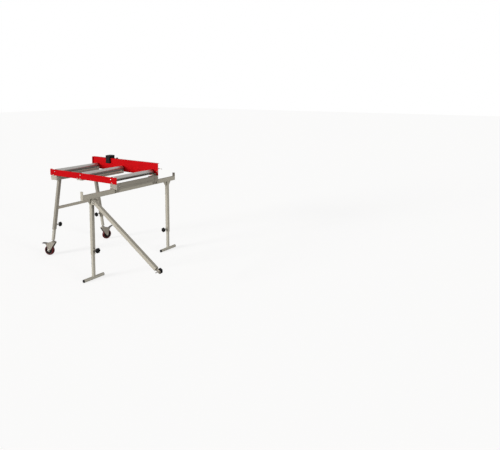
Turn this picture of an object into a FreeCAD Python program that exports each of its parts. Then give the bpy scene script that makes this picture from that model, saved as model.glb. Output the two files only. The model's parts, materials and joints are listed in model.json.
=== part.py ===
import FreeCAD, Part
import Sketcher
import math
import os
import re

# Roller table that stands beside a saw: a deck of three rollers between a low side rail and a
# fence, on two telescoping caster legs at one end and, at the other, on a guide rail that has
# two telescoping legs of its own and lets the whole deck slide across the work.
#
# Frame: Z is up and the floor is Z = 0, X runs along the fence towards the saw, and Y runs from
# the low side rail to the fence.  Places in this file are counted from the floor point under the
# middle of the deck; deck_x and deck_y set that point in the frame.  Millimetres and degrees.

os.makedirs("parts", exist_ok=True)

DOC = FreeCAD.newDocument("roller_table")
SHEET = DOC.addObject("Spreadsheet::Sheet", "Sizes")

SIZES = (
    ("deck_x", -361.5, "middle of the deck along X, from the frame's origin"),
    ("deck_y", 38.5, "middle of the deck along Y, from the frame's origin"),
    ("sheet", 2.5, "thickness of all folded sheet"),
    ("tool_margin", 5, "how far a cutting solid stands out of what it cuts"),
    ("clear_width", 529, "between the inner faces of side rail and fence"),
    ("rail_length", 960, "length of side rail and fence"),
    ("deck_bottom", 798, "bottom edge of side rail and fence"),
    ("side_rail_height", 60, "side rail, bottom to top edge"),
    ("fence_height", 125, "fence, bottom to top edge"),
    ("fence_lip", 22, "top flange of the fence, turned backward"),
    ("flange_depth", 25, "other end flanges of side rail and fence"),
    ("front_flange", 14, "left end flange of the fence, turned forward"),
    ("flange_inset", 25, "their right end flanges, from the right end"),
    ("corner_clip", 4, "clipped corners of the end flanges"),
    ("pin_radius", 4, "locating pins"),
    ("pin_inset", 15, "locating pins behind the face of rail or fence"),
    ("pin_root_radius", 5, "root of a locating pin, in the hole of the flange"),
    ("pin_collar_radius", 8, "collar that holds a locating pin"),
    ("pin_collar", 5, "thickness of that collar"),
    ("fence_pin_reach", 38, "fence pin beyond the end of the fence"),
    ("fence_pin_drop", 54, "fence pin below the top edge of the fence"),
    ("rail_pin_reach", 21, "side rail pin beyond the end of the rail"),
    ("rail_pin_rise", 13, "side rail pin above the lower edge of the rail"),
    ("roller_radius", 25, "roller tubes"),
    ("roller_wall", 1.5, "wall of the roller tubes"),
    ("roller_rise", 38, "roller axes above the lower edge of the rails"),
    ("roller_inset", 75, "outer rollers, from the ends of the rails"),
    ("middle_roller_x", -18, "middle roller"),
    ("roller_end_gap", 9.5, "from a roller's end to rail or fence"),
    ("cap_depth", 14, "bearing caps inside the roller ends"),
    ("cap_boss_radius", 10, "boss of a bearing cap"),
    ("cap_boss", 4, "that boss beyond the roller's end"),
    ("axle_radius", 6, "roller axles"),
    ("running_gap", 0.05, "radial clearance of what turns on a pin or axle"),
    ("bolt_radius", 3, "shank of all hexagon bolts"),
    ("bolt_play", 0.25, "radial clearance of the bolt holes"),
    ("bolt_circle", 5.77, "hexagon heads and nuts, to their corners"),
    ("bolt_head", 4, "height of a bolt head"),
    ("bolt_nut", 5, "height of a nut"),
    ("bolt_end", 1, "shank beyond its nut"),
    ("axle_thread", 20, "axle bolts inside the axle ends"),
    ("joint_bolt_rise", 7, "bolts that hold the cross beams, above the lower edge of the rails"),
    ("beam_depth", 48, "cross beams, below the rails"),
    ("beam_ear", 24, "end plates of the left cross beam, above its top"),
    ("beam_rise", 15, "saw-side wall of the left cross beam, above its top"),
    ("left_beam_inset", 51, "middle of the left cross beam, from the left end of the rails"),
    ("left_beam_width", 86, "left cross beam"),
    ("guide_inset", 42, "middle of the guide rail, from the right end of the rails"),
    ("right_beam_face", 39, "web of the right cross beam, from the middle of the guide rail"),
    ("right_beam_flange", 20, "flanges of the right cross beam"),
    ("right_beam_rise", 6, "right cross beam above the lower edge of the rails"),
    ("member_x", -41, "middle of the middle cross member"),
    ("member_width", 72, "middle cross member"),
    ("member_depth", 13, "middle cross member, below the rails"),
    ("member_ear", 17, "end plates of the middle cross member, above its top face"),
    ("member_rise", 0.5, "saw-side wall of the middle cross member, above its top face"),
    ("member_bolt_pitch", 41, "between the two bolts of the middle cross member"),
    ("guide_width", 30, "guide rail"),
    ("guide_height", 40, "guide rail"),
    ("guide_wall", 2.5, "wall of the guide rail"),
    ("guide_drop", 83, "underside of the guide rail, below the lower edge of the rails"),
    ("guide_front", -610, "front end of the guide rail"),
    ("guide_rear", 535, "rear end of the guide rail"),
    ("guide_stop_height", 75, "plates that close the guide rail"),
    ("guide_stop_sheet", 4.5, "thickness of those plates"),
    ("glide_length", 40, "nylon glides on the guide rail"),
    ("side_gap", 0.3, "sliding clearance beside the guide rail"),
    ("notch_gap", 2, "free space above the guide rail in plates that straddle it"),
    ("bracket_roof_drop", 3, "box of a carriage bracket, below the lower edge of the rails"),
    ("bracket_ear", 24, "ear of a carriage bracket, above the lower edge of the rails"),
    ("bracket_ear_right", 14, "that ear, right of the guide rail's middle"),
    ("bracket_box_depth", 50, "box of a carriage bracket, roof to lower edge"),
    ("bracket_leg_rise", 7, "legs of a carriage bracket, above the underside of the guide rail"),
    ("bracket_left", 47, "carriage brackets, left of the guide rail's middle"),
    ("bracket_leg", 13, "width of a bracket's legs beside the guide rail"),
    ("bracket_depth", 50, "carriage brackets along the guide rail"),
    ("bracket_bolt", -21, "front bolt of a bracket, from the guide rail's middle"),
    ("rear_bracket_bolt", 4, "rear bolt of a bracket, from the guide rail's middle"),
    ("rear_bolt_rise", 16, "that bolt above the lower edge of the rails"),
    ("clamp_bolt", -33, "bolt beside the guide rail in a bracket's plate"),
    ("clamp_bolt_drop", 41, "that bolt below the lower edge of the rails"),
    ("beam_bolt_inset", 25, "bolts of the right cross beam, from its ends"),
    ("beam_bolt_drop", 26, "those bolts below the lower edge of the rails"),
    ("fence_bolt_inset", 10, "bolt near the fence's right end"),
    ("fence_bolt_rise", 43, "that bolt above the lower edge of the rails"),
    ("tube_side", 30, "outer square tubes of all legs"),
    ("tube_wall", 2.5, "wall of those tubes"),
    ("inner_side", 24, "inner square tubes of all legs"),
    ("inner_wall", 2, "wall of those tubes"),
    ("boss_radius", 11, "threaded bosses for the clamp knobs"),
    ("boss_height", 10, "those bosses above the tube"),
    ("stud_radius", 4, "studs of the clamp knobs"),
    ("stud_gap", 0.3, "free space between a stud's tip and the inner tube"),
    ("knob_start", 48, "knob heads, from the axis of the leg"),
    ("knob_length", 26, "knob heads"),
    ("knob_radius", 23, "knob heads"),
    ("knob_scallop", 8, "radius of the finger scallops"),
    ("knob_bite", 4, "depth of the finger scallops"),
    ("knob_lobes", 6, "number of finger scallops"),
    ("caster_shift", 25, "plane of the caster legs, from the middle of the left cross beam"),
    ("caster_tilt", 8.8, "splay of the caster legs"),
    ("caster_foot_y", 336, "where a caster leg's axis would meet the floor"),
    ("caster_tube_bottom", 260, "lower ends of the outer caster leg tubes"),
    ("caster_knob_rise", 46, "clamp knobs of the caster legs, above the lower ends of the outer tubes"),
    ("caster_slider_depth", 180, "inner caster leg tubes inside the outer ones"),
    ("crossbar_side", 25, "cross bar between the caster legs"),
    ("crossbar_wall", 2, "wall of the cross bar"),
    ("crossbar_height", 469, "middle of the cross bar"),
    ("caster_height", 160, "top of the casters"),
    ("caster_plate", 4, "top plates of the casters"),
    ("caster_plate_side", 24, "top plates of the casters"),
    ("caster_neck", 10, "neck between a top plate and its raceway"),
    ("caster_neck_radius", 7, "that neck"),
    ("raceway_radius", 21, "swivel raceways"),
    ("raceway", 8, "fixed half of a raceway"),
    ("turn_gap", 0.3, "free space between faces that turn past each other"),
    ("fork_race", 4, "turning half of a raceway"),
    ("fork_sheet", 3, "sheet of the caster forks"),
    ("fork_clear", 36, "inside width of the forks"),
    ("fork_shoulder", 9, "front edge of a fork's cheeks, below the crown"),
    ("kingpin_radius", 6, "kingpins of the casters"),
    ("kingpin_head", 9, "radius of the kingpin heads"),
    ("trail", 44, "caster axles behind the swivel axes"),
    ("wheel_radius", 50, "caster wheels"),
    ("wheel_width", 28, "caster wheels"),
    ("tread_depth", 14, "thickness of the treads"),
    ("tread_chamfer", 4, "chamfer on the edges of the treads"),
    ("hub_width", 35, "hubs of the caster wheels"),
    ("hub_radius", 13, "hubs of the caster wheels"),
    ("web_recess", 4, "depth of the dish in the wheel cores"),
    ("rim_depth", 6, "rim of the wheel cores, inside the tread"),
    ("caster_axle_radius", 5, "axles of the caster wheels"),
    ("caster_axle_head", 4, "heads and nuts of the caster axles"),
    ("caster_axle_head_radius", 8.5, "heads and nuts of the caster axles"),
    ("pedal_x", 68, "pedal pivots, behind the swivel axes"),
    ("pedal_z", 110, "pedal pivots above the floor"),
    ("pedal_pin_radius", 3, "pedal pivots"),
    ("pedal_pin_head", 1.5, "heads of the pedal pivots"),
    ("pedal_pin_head_radius", 4.5, "heads of the pedal pivots"),
    ("pedal_pin_edge", 6, "fork beyond the pedal pivot, at each side"),
    ("pedal_width", 30, "brake pedals"),
    ("pedal_arm", 52, "brake pedals beyond their pivots"),
    ("pedal_sheet", 5, "thickness of the pedal's arm"),
    ("pedal_hub", 9, "pedal about its pivot"),
    ("pedal_bend", 18, "bend of the pedal, from its pivot"),
    ("pedal_cam", 12, "cam of the pedal, below its pivot"),
    ("front_heading", 200, "direction of the front caster's trail, from +X"),
    ("rear_heading", 80, "direction of the rear caster's trail, from +X"),
    ("front_pedal_lift", 0, "front pedal above its pressed place"),
    ("rear_pedal_lift", 22, "rear pedal above its pressed place"),
    ("front_leg_y", -512, "front leg of the guide rail"),
    ("rear_leg_y", 435, "rear leg of the guide rail"),
    ("front_tube_bottom", 220, "lower end of the front leg's outer tube"),
    ("rear_tube_bottom", 190, "lower end of the rear leg's outer tube"),
    ("front_knob_rise", 45, "clamp knob of the front leg, above the lower end of its outer tube"),
    ("rear_knob_rise", 33, "clamp knob of the rear leg, above the lower end of its outer tube"),
    ("leg_slider_depth", 200, "inner leg tubes inside the outer ones"),
    ("foot_radius", 14, "round foot tubes"),
    ("foot_wall", 2, "wall of the foot tubes"),
    ("foot_length", 208, "foot tubes without their plugs"),
    ("plug_head", 4, "end plugs outside the foot tubes"),
    ("plug_depth", 15, "end plugs inside the foot tubes"),
    ("gusset_width", 35, "gussets along the guide rail"),
    ("gusset_height", 52, "gussets along the legs"),
    ("gusset_edge", 5, "blunt ends of the gussets"),
    ("gusset_sheet", 4, "thickness of the gussets"),
    ("brace_shift", 40, "pivot of the brace, from the leg's axis"),
    ("brace_pivot_drop", 27, "pivot of the brace, below the guide rail"),
    ("brace_slope", 32.2, "brace below the horizontal"),
    ("brace_side", 30, "square tube of the brace"),
    ("brace_wall", 2.5, "wall of the brace"),
    ("brace_overhang", 12, "brace beyond its pivot"),
    ("brace_length", 838, "pivot to the lower end of the tube"),
    ("brace_ear_sheet", 3, "bracket of the brace"),
    ("brace_ear_gap", 0.3, "between the brace and each ear"),
    ("brace_ear_reach", 57, "ears, from the leg's axis"),
    ("brace_ear_drop", 4, "bracket of the brace, below the guide rail"),
    ("brace_ear_height", 45, "bracket of the brace"),
    ("brace_bolt_radius", 5, "pivot bolt of the brace"),
    ("brace_bolt_head", 6, "head and nut of that bolt"),
    ("brace_bolt_head_radius", 9, "head and nut of that bolt"),
    ("tongue_sheet", 5, "tongue in the lower end of the brace"),
    ("tongue_seat", 35, "tongue inside the tube"),
    ("tongue_reach", 45, "tongue beyond the tube"),
    ("tongue_hole", 28, "hole in the tongue, beyond the tube"),
    ("brace_stud_reach", 32, "stud of the brace beyond the tongue"),
    ("brace_stud_shoulder", 5.5, "radius of that stud inside the tongue"),
    ("stop_left", -258, "length stop, left end"),
    ("stop_length", 105, "length stop, left end of its block to right end of its bar"),
    ("stop_gap", 0.3, "sliding clearance of the carrier on the fence"),
    ("stop_rise", 30, "length stop above the fence"),
    ("stop_hook", 15, "carrier below the fence's lip"),
    ("stop_hook_reach", 16, "carrier under the fence's lip"),
    ("stop_back", 25, "carrier behind the fence's lip"),
    ("stop_ear", 8, "ear that holds the hinge pin"),
    ("flap_length", 58, "stop plate along the fence"),
    ("flap_sheet", 15, "thickness of the stop plate"),
    ("flap_gap", 2.5, "stop plate in front of the fence"),
    ("flap_drop", 53, "lower edge of the stop plate, below the top of the fence"),
    ("flap_pin_radius", 3, "hinge pin of the stop plate"),
    ("stop_bar_drop", 1.5, "bar behind the fence's lip, below the top of the fence"),
    ("stop_knob_drop", 7, "axis of the stop's knob, below the top of the fence"),
    ("stop_knob_radius", 15, "clamp knob of the length stop"),
    ("stop_knob_length", 14, "clamp knob of the length stop"),
    ("stop_knob_gap", 1.3, "clamp knob of the length stop, behind the fence's lip"),
    ("stop_stud_depth", 25, "stud inside the carrier"),
)
NAMES = {name for name, value, meaning in SIZES}

# Places and heights that follow from the sizes, by the names that the formulas below use.
PLACES = {
    "guide_x": "(rail_length / 2 - guide_inset)",
    "roller_pitch": "(rail_length / 2 - roller_inset)",
    "left_beam_x": "(left_beam_inset - rail_length / 2)",
    "caster_x": "(left_beam_x + caster_shift)",
    "fence_top": "(deck_bottom + fence_height)",
    "fence_pin_height": "(fence_top - fence_pin_drop)",
    "rail_pin_height": "(deck_bottom + rail_pin_rise)",
    "roller_height": "(deck_bottom + roller_rise)",
    "joint_bolt_height": "(deck_bottom + joint_bolt_rise)",
    "rear_bolt_height": "(deck_bottom + rear_bolt_rise)",
    "fence_bolt_height": "(deck_bottom + fence_bolt_rise)",
    "clamp_bolt_height": "(deck_bottom - clamp_bolt_drop)",
    "beam_bolt_height": "(deck_bottom - beam_bolt_drop)",
    "beam_bottom": "(deck_bottom - beam_depth)",
    "right_beam_top": "(deck_bottom + right_beam_rise)",
    "member_bottom": "(deck_bottom - member_depth)",
    "guide_bottom": "(deck_bottom - guide_drop)",
    "bracket_roof": "(deck_bottom - bracket_roof_drop)",
    "bracket_ear_top": "(deck_bottom + bracket_ear)",
    "bracket_shoulder": "(bracket_roof - bracket_box_depth)",
    "bracket_bottom": "(guide_bottom + bracket_leg_rise)",
    "caster_knob_height": "(caster_tube_bottom + caster_knob_rise)",
    "front_knob_height": "(front_tube_bottom + front_knob_rise)",
    "rear_knob_height": "(rear_tube_bottom + rear_knob_rise)",
    "brace_pivot_height": "(guide_bottom - brace_pivot_drop)",
    "brace_ear_top": "(guide_bottom - brace_ear_drop)",
    "stop_top": "(fence_top + stop_rise)",
    "stop_knob_height": "(fence_top - stop_knob_drop)",
    "flap_bottom": "(fence_top - flap_drop)",
}


# ---------------------------------------------------------------- sheet, expressions, placements

def fill_sheet():
    for row, (name, value, meaning) in enumerate(SIZES, start=1):
        SHEET.set(f"A{row}", meaning)
        SHEET.set(f"B{row}", str(value))
        SHEET.setAlias(f"B{row}", name)
    DOC.recompute()


def written_out(text):
    """The text with every named place written out in sizes."""
    def write_out(word):
        return written_out(PLACES[word[0]]) if word[0] in PLACES else word[0]
    return re.sub(r"[a-z_]+", write_out, str(text))


def formula(text):
    """The text as an expression: every word that names a size is looked up in the sheet."""
    def look_up(word):
        return "Sizes." + word[0] if word[0] in NAMES else word[0]
    return re.sub(r"[a-z_]+", look_up, written_out(text))


def bind(thing, **formulas):
    for name, text in formulas.items():
        thing.setExpression(name, formula(text))


def place(thing, x="0", y="0", z="0", about=None, angle="0"):
    """Put a thing at x, y, z of its own parent, turned by the angle about an axis."""
    if about:
        thing.Placement.Rotation = FreeCAD.Rotation(FreeCAD.Vector(*AXES[about]), 10)
        thing.setExpression("Placement.Rotation.Angle", formula(angle))
    for letter, text in (("x", x), ("y", y), ("z", z)):
        thing.setExpression("Placement.Base." + letter, formula(text))
    return thing


def seat(label, thing, x="0", y="0", z="0", about=None, angle="0"):
    """Make the thing a finished sub-part, placed from the middle of the deck."""
    thing.Label = label
    place(thing, f"deck_x + {x}", f"deck_y + {y}", z, about, angle)
    PIECES.append(thing)


AXES = {"x": (1, 0, 0), "y": (0, 1, 0), "z": (0, 0, 1)}
# The turn that lays a cylinder's own axis along each direction.
TURNS = {
    "x": ("y", "90"),
    "-x": ("y", "-90"),
    "y": ("x", "-90"),
    "-y": ("x", "90"),
    "z": (None, "0"),
}
PIECES = []


# ---------------------------------------------------------------- solids of the Part workbench

def box(length, width, height, x="0", y="0", z="0"):
    """A box with its lowest corner at x, y, z."""
    block = DOC.addObject("Part::Box", "box")
    bind(block, Length=length, Width=width, Height=height)
    return place(block, x, y, z)


def post(side, low, high):
    """A square block about the Z axis."""
    return box(side, side, f"({high}) - ({low})", f"-({side}) / 2", f"-({side}) / 2", low)


def rod(radius, length, x="0", y="0", z="0", along="z"):
    """A cylinder that starts at x, y, z."""
    cylinder = DOC.addObject("Part::Cylinder", "rod")
    bind(cylinder, Radius=radius, Height=length)
    about, angle = TURNS[along]
    return place(cylinder, x, y, z, about, angle)


def hexagon(height, x="0", y="0", z="0", along="z"):
    """A bolt head or nut that starts at x, y, z."""
    prism = DOC.addObject("Part::Prism", "hexagon")
    prism.Polygon = 6
    bind(prism, Circumradius="bolt_circle", Height=height)
    about, angle = TURNS[along]
    return place(prism, x, y, z, about, angle)


def cut(base, tool):
    result = DOC.addObject("Part::Cut", "cut")
    result.Base = base
    result.Tool = tool
    return result


def common(first, second):
    result = DOC.addObject("Part::Common", "common")
    result.Base = first
    result.Tool = second
    return result


def fuse(*solids):
    result = DOC.addObject("Part::MultiFuse", "fuse")
    result.Shapes = list(solids)
    result.Refine = True
    return result


def group(*solids):
    """Separate solids that share one node."""
    result = DOC.addObject("Part::Compound", "group")
    result.Links = list(solids)
    return result


def square_tube(side, wall, low, high):
    """A square tube about the Z axis."""
    bore = post(f"({side}) - 2 * ({wall})", f"({low}) - tool_margin", f"({high}) + tool_margin")
    return cut(post(side, low, high), bore)


# ---------------------------------------------------------------- bodies of the PartDesign workbench

def new_body():
    return DOC.addObject("PartDesign::Body", "body")


def sketch(body, plane, offset="0"):
    drawing = body.newObject("Sketcher::SketchObject", "sketch")
    for feature in body.Origin.OriginFeatures:
        if feature.Role == plane:
            drawing.AttachmentSupport = [(feature, "")]
    drawing.MapMode = "FlatFace"
    drawing.setExpression("AttachmentOffset.Base.z", formula(offset))
    return drawing


def fix(drawing, element, point, across, up):
    """Hold one point of a sketch at its distances from the sketch's origin."""
    for kind, text in (("DistanceX", across), ("DistanceY", up)):
        index = drawing.addConstraint(Sketcher.Constraint(kind, -1, 1, element, point, 1.0))
        drawing.setExpression(f"Constraints[{index}]", formula(text))


def polygon(drawing, corners):
    """A closed outline; it starts as a regular one that the constraints then pull into place."""
    count = len(corners)
    starts = []
    for number in range(count):
        angle = 2 * math.pi * number / count
        starts.append(FreeCAD.Vector(50 * math.cos(angle), 50 * math.sin(angle), 0))
    lines = []
    for number in range(count):
        edge = Part.LineSegment(starts[number], starts[(number + 1) % count])
        lines.append(drawing.addGeometry(edge))
    for number, (across, up) in enumerate(corners):
        following = lines[(number + 1) % count]
        drawing.addConstraint(Sketcher.Constraint("Coincident", lines[number], 2, following, 1))
        fix(drawing, lines[number], 1, across, up)


def rectangle(drawing, left, bottom, right, top):
    polygon(drawing, [(left, bottom), (right, bottom), (right, top), (left, top)])


def circle(drawing, across, up, radius):
    ring = drawing.addGeometry(Part.Circle(FreeCAD.Vector(0, 0, 0), FreeCAD.Vector(0, 0, 1), 10))
    fix(drawing, ring, 3, across, up)
    index = drawing.addConstraint(Sketcher.Constraint("Radius", ring, 10))
    drawing.setExpression(f"Constraints[{index}]", formula(radius))


def pad(body, drawing, length, reverse=False, both=False):
    feature = body.newObject("PartDesign::Pad", "pad")
    feature.Profile = drawing
    feature.SideType = "Symmetric" if both else "One side"
    feature.Reversed = reverse
    bind(feature, Length=length)
    return feature


def pocket(body, drawing, length, reverse=False, both=False):
    feature = body.newObject("PartDesign::Pocket", "pocket")
    feature.Profile = drawing
    feature.SideType = "Symmetric" if both else "One side"
    feature.Reversed = reverse
    bind(feature, Length=length)
    return feature


def turned(corners):
    """A solid of revolution about the Y axis; corners are (radius, place along Y)."""
    body = new_body()
    drawing = sketch(body, "XY_Plane")
    polygon(drawing, corners)
    feature = body.newObject("PartDesign::Revolution", "revolution")
    feature.Profile = drawing
    feature.ReferenceAxis = (drawing, ["V_Axis"])
    feature.Angle = 360
    return body


# ---------------------------------------------------------------- deck: side rail, fence, beams

BOLT_HOLE = "bolt_radius + bolt_play"
RAIL_END = "rail_length / 2"
INNER_FACE = "clear_width / 2"
BEAM_BOLTS = (
    ("left_beam_x", "joint_bolt_height"),
    ("member_x - member_bolt_pitch / 2", "joint_bolt_height"),
    ("member_x + member_bolt_pitch / 2", "joint_bolt_height"),
)
FRONT_BRACKET_BOLT = ("guide_x + bracket_bolt", "joint_bolt_height")
REAR_BRACKET_BOLT = ("guide_x + rear_bracket_bolt", "rear_bolt_height")
FENCE_BOLT = (f"{RAIL_END} - fence_bolt_inset", "fence_bolt_height")
CLAMP_BOLT = ("guide_x + clamp_bolt", "clamp_bolt_height")
BRACKET_BOLT_PLACES = (
    f"-{INNER_FACE} + sheet + beam_bolt_inset",
    f"{INNER_FACE} - sheet - beam_bolt_inset",
)
ROLLER_PLACES = ("-roller_pitch", "middle_roller_x", "roller_pitch")


def side_wall(body, height, bolts, reverse):
    """The upright sheet of a side rail or fence, with the holes for axle and beam bolts."""
    drawing = sketch(body, "XZ_Plane", f"-{INNER_FACE}" if reverse else INNER_FACE)
    rectangle(drawing, f"-{RAIL_END}", "deck_bottom", RAIL_END, f"deck_bottom + {height}")
    for place_x in ROLLER_PLACES:
        circle(drawing, place_x, "roller_height", BOLT_HOLE)
    for place_x, place_z in bolts:
        circle(drawing, place_x, place_z, BOLT_HOLE)
    pad(body, drawing, "sheet", reverse)


def end_flange(body, start_x, near, far, height, pin_y=None, pin_z=None):
    """A flange at one end, with its two free corners clipped and a hole for a pin."""
    clip = f"({far}) - corner_clip * ({far} - {near}) / abs({far} - {near})"
    top = f"deck_bottom + {height}"
    drawing = sketch(body, "YZ_Plane", start_x)
    polygon(drawing, [
        (near, "deck_bottom"),
        (clip, "deck_bottom"),
        (far, "deck_bottom + corner_clip"),
        (far, f"{top} - corner_clip"),
        (clip, top),
        (near, top),
    ])
    if pin_y:
        circle(drawing, pin_y, pin_z, "pin_root_radius")
    pad(body, drawing, "sheet")


RAIL_OUTER = f"(-{INNER_FACE} - sheet)"
RAIL_FLANGE_END = f"(-{INNER_FACE} - sheet + flange_depth)"
RAIL_PIN_Y = f"-{INNER_FACE} - sheet + pin_inset"
FENCE_INNER = f"({INNER_FACE})"
FENCE_OUTER = f"({INNER_FACE} + sheet)"
FENCE_FRONT_END = f"({INNER_FACE} - front_flange)"
FENCE_FLANGE_END = f"({INNER_FACE} + flange_depth)"
FENCE_PIN_Y = f"{INNER_FACE} + pin_inset"
LEFT_FLANGE = f"-{RAIL_END}"
RIGHT_FLANGE_FACE = f"{RAIL_END} - flange_inset"
RIGHT_FLANGE = f"{RIGHT_FLANGE_FACE} - sheet"


def side_rail():
    body = new_body()
    side_wall(body, "side_rail_height", BEAM_BOLTS + (FRONT_BRACKET_BOLT,), False)
    end_flange(body, RIGHT_FLANGE, RAIL_OUTER, RAIL_FLANGE_END, "side_rail_height")
    end_flange(
        body, LEFT_FLANGE, RAIL_OUTER, RAIL_FLANGE_END, "side_rail_height", RAIL_PIN_Y, "rail_pin_height"
    )
    seat("side_rail", body)


def fence():
    body = new_body()
    side_wall(body, "fence_height", BEAM_BOLTS + (REAR_BRACKET_BOLT, FENCE_BOLT), True)
    lip = sketch(body, "XZ_Plane", f"-{INNER_FACE}")
    rectangle(lip, f"-{RAIL_END}", "fence_top - sheet", RAIL_END, "fence_top")
    pad(body, lip, "fence_lip", True)
    end_flange(body, LEFT_FLANGE, FENCE_OUTER, FENCE_FRONT_END, "fence_height")
    end_flange(
        body, RIGHT_FLANGE, FENCE_INNER, FENCE_FLANGE_END, "fence_height", FENCE_PIN_Y, "fence_pin_height"
    )
    seat("fence", body)


def end_plate(body, left, right, bottom, top, bolts, start):
    drawing = sketch(body, "XZ_Plane", start)
    rectangle(drawing, left, bottom, right, top)
    for place_x, place_z in bolts:
        circle(drawing, place_x, place_z, BOLT_HOLE)
    pad(body, drawing, "sheet")


def channel(label, middle, width, bottom, top, rise, ear, bolts):
    """A channel of folded sheet that opens downward, from rail to fence, with two end plates.
    Its saw-side wall rises above its top, and the end plates' ears rise further."""
    left = f"({middle} - {width} / 2)"
    right = f"({middle} + {width} / 2)"
    body = new_body()
    profile = sketch(body, "XZ_Plane")
    polygon(profile, [
        (left, bottom),
        (f"{left} + sheet", bottom),
        (f"{left} + sheet", f"{top} - sheet"),
        (f"{right} - sheet", f"{top} - sheet"),
        (f"{right} - sheet", bottom),
        (right, bottom),
        (right, f"{top} + {rise}"),
        (f"{right} - sheet", f"{top} + {rise}"),
        (f"{right} - sheet", top),
        (left, top),
    ])
    pad(body, profile, "clear_width - 2 * sheet", both=True)
    for start in (f"{INNER_FACE} - sheet", f"-{INNER_FACE}"):
        end_plate(body, left, right, bottom, f"{top} + {ear}", bolts, start)
    seat(label, body)


def cross_beams():
    channel(
        "left_cross_beam", "left_beam_x", "left_beam_width", "beam_bottom", "deck_bottom",
        "beam_rise", "beam_ear", BEAM_BOLTS[:1],
    )
    channel(
        "middle_cross_member", "member_x", "member_width", "member_bottom", "deck_bottom",
        "member_rise", "member_ear", BEAM_BOLTS[1:],
    )


def right_cross_beam():
    """A channel on its side between the two carriage brackets, with its web towards the saw."""
    face = "(guide_x + right_beam_face)"
    inner = f"{face} - right_beam_flange"
    body = new_body()
    profile = sketch(body, "XZ_Plane")
    polygon(profile, [
        (inner, "beam_bottom"),
        (face, "beam_bottom"),
        (face, "right_beam_top"),
        (inner, "right_beam_top"),
        (inner, "right_beam_top - sheet"),
        (f"{face} - sheet", "right_beam_top - sheet"),
        (f"{face} - sheet", "beam_bottom + sheet"),
        (inner, "beam_bottom + sheet"),
    ])
    pad(body, profile, "clear_width - 2 * sheet", both=True)
    holes = sketch(body, "YZ_Plane", face)
    for place_y in BRACKET_BOLT_PLACES:
        circle(holes, place_y, "beam_bolt_height", BOLT_HOLE)
    pocket(body, holes, "2 * sheet")
    seat("right_cross_beam", body)


def carriage_bracket(label, start, near, far, bolt_place, bolt_y):
    """A folded box under the rail's end that straddles the guide rail on a nylon glide.
    Its plate lies behind rail or fence; roof, sides and cheeks run from near to far, and the
    right side lies against the web of the right cross beam, where the roof ends."""
    inside = "(guide_width / 2 + side_gap)"
    slot_roof = "(guide_bottom + guide_height + notch_gap)"
    left = "(guide_x - bracket_left)"
    web = "(guide_x + right_beam_face)"
    right = f"({web} + sheet)"
    body = new_body()
    plate = sketch(body, "XZ_Plane", start)
    polygon(plate, [
        (left, "bracket_shoulder"),
        (f"guide_x - {inside} - bracket_leg", "bracket_shoulder"),
        (f"guide_x - {inside} - bracket_leg", "bracket_bottom"),
        (f"guide_x - {inside}", "bracket_bottom"),
        (f"guide_x - {inside}", slot_roof),
        (f"guide_x + {inside}", slot_roof),
        (f"guide_x + {inside}", "bracket_bottom"),
        (f"guide_x + {inside} + bracket_leg", "bracket_bottom"),
        (f"guide_x + {inside} + bracket_leg", "bracket_shoulder"),
        (right, "bracket_shoulder"),
        (right, "bracket_roof"),
        ("guide_x + bracket_ear_right", "bracket_roof"),
        ("guide_x + bracket_ear_right", "bracket_ear_top"),
        (left, "bracket_ear_top"),
    ])
    for place_x, place_z in (bolt_place, CLAMP_BOLT):
        circle(plate, place_x, place_z, BOLT_HOLE)
    pad(body, plate, "sheet")
    folds = (
        (left, "bracket_shoulder", "bracket_roof"),
        (web, "bracket_shoulder", "bracket_roof"),
        (f"guide_x - {inside} - sheet", "bracket_bottom", slot_roof),
        (f"guide_x + {inside}", "bracket_bottom", slot_roof),
    )
    for start_x, low, high in folds:
        fold = sketch(body, "YZ_Plane", start_x)
        rectangle(fold, near, low, far, high)
        pad(body, fold, "sheet")
    roof = sketch(body, "YZ_Plane", left)
    rectangle(roof, near, "bracket_roof - sheet", far, "bracket_roof")
    pad(body, roof, f"{web} - sheet - {left}")
    hole = sketch(body, "YZ_Plane", right)
    circle(hole, bolt_y, "beam_bolt_height", BOLT_HOLE)
    pocket(body, hole, "sheet")
    seat(label, body)


def carriage_brackets():
    carriage_bracket(
        "front_carriage_bracket", f"{INNER_FACE} - sheet", f"-{INNER_FACE}",
        f"-{INNER_FACE} + bracket_depth", FRONT_BRACKET_BOLT, BRACKET_BOLT_PLACES[0],
    )
    carriage_bracket(
        "rear_carriage_bracket", f"-{INNER_FACE}", f"{INNER_FACE} - bracket_depth",
        INNER_FACE, REAR_BRACKET_BOLT, BRACKET_BOLT_PLACES[1],
    )


def carriage_glides():
    """Nylon blocks between the guide rail and the roofs of the carriage brackets."""
    rail_top = "(guide_bottom + guide_height)"
    height = f"bracket_roof - sheet - {rail_top}"
    left = "guide_x - guide_width / 2"
    inset = "(sheet + side_gap)"
    blocks = []
    for start in (f"-{INNER_FACE} + {inset}", f"{INNER_FACE} - {inset} - glide_length"):
        blocks.append(box("guide_width", "glide_length", height, left, start, rail_top))
    seat("carriage_glides", group(*blocks))


def bolt(x, y, z, grip, along="y"):
    """A hexagon bolt with its nut run on; the head's seat is at x, y, z."""
    shift = {axis: f"+ {grip}" if axis == along else "" for axis in AXES}
    head = hexagon("bolt_head", x, y, z, "-" + along)
    shank = rod("bolt_radius", f"{grip} + bolt_nut + bolt_end", x, y, z, along)
    nut = hexagon("bolt_nut", f"{x} {shift['x']}", f"{y} {shift['y']}", z, along)
    return fuse(head, shank, nut)


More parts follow.
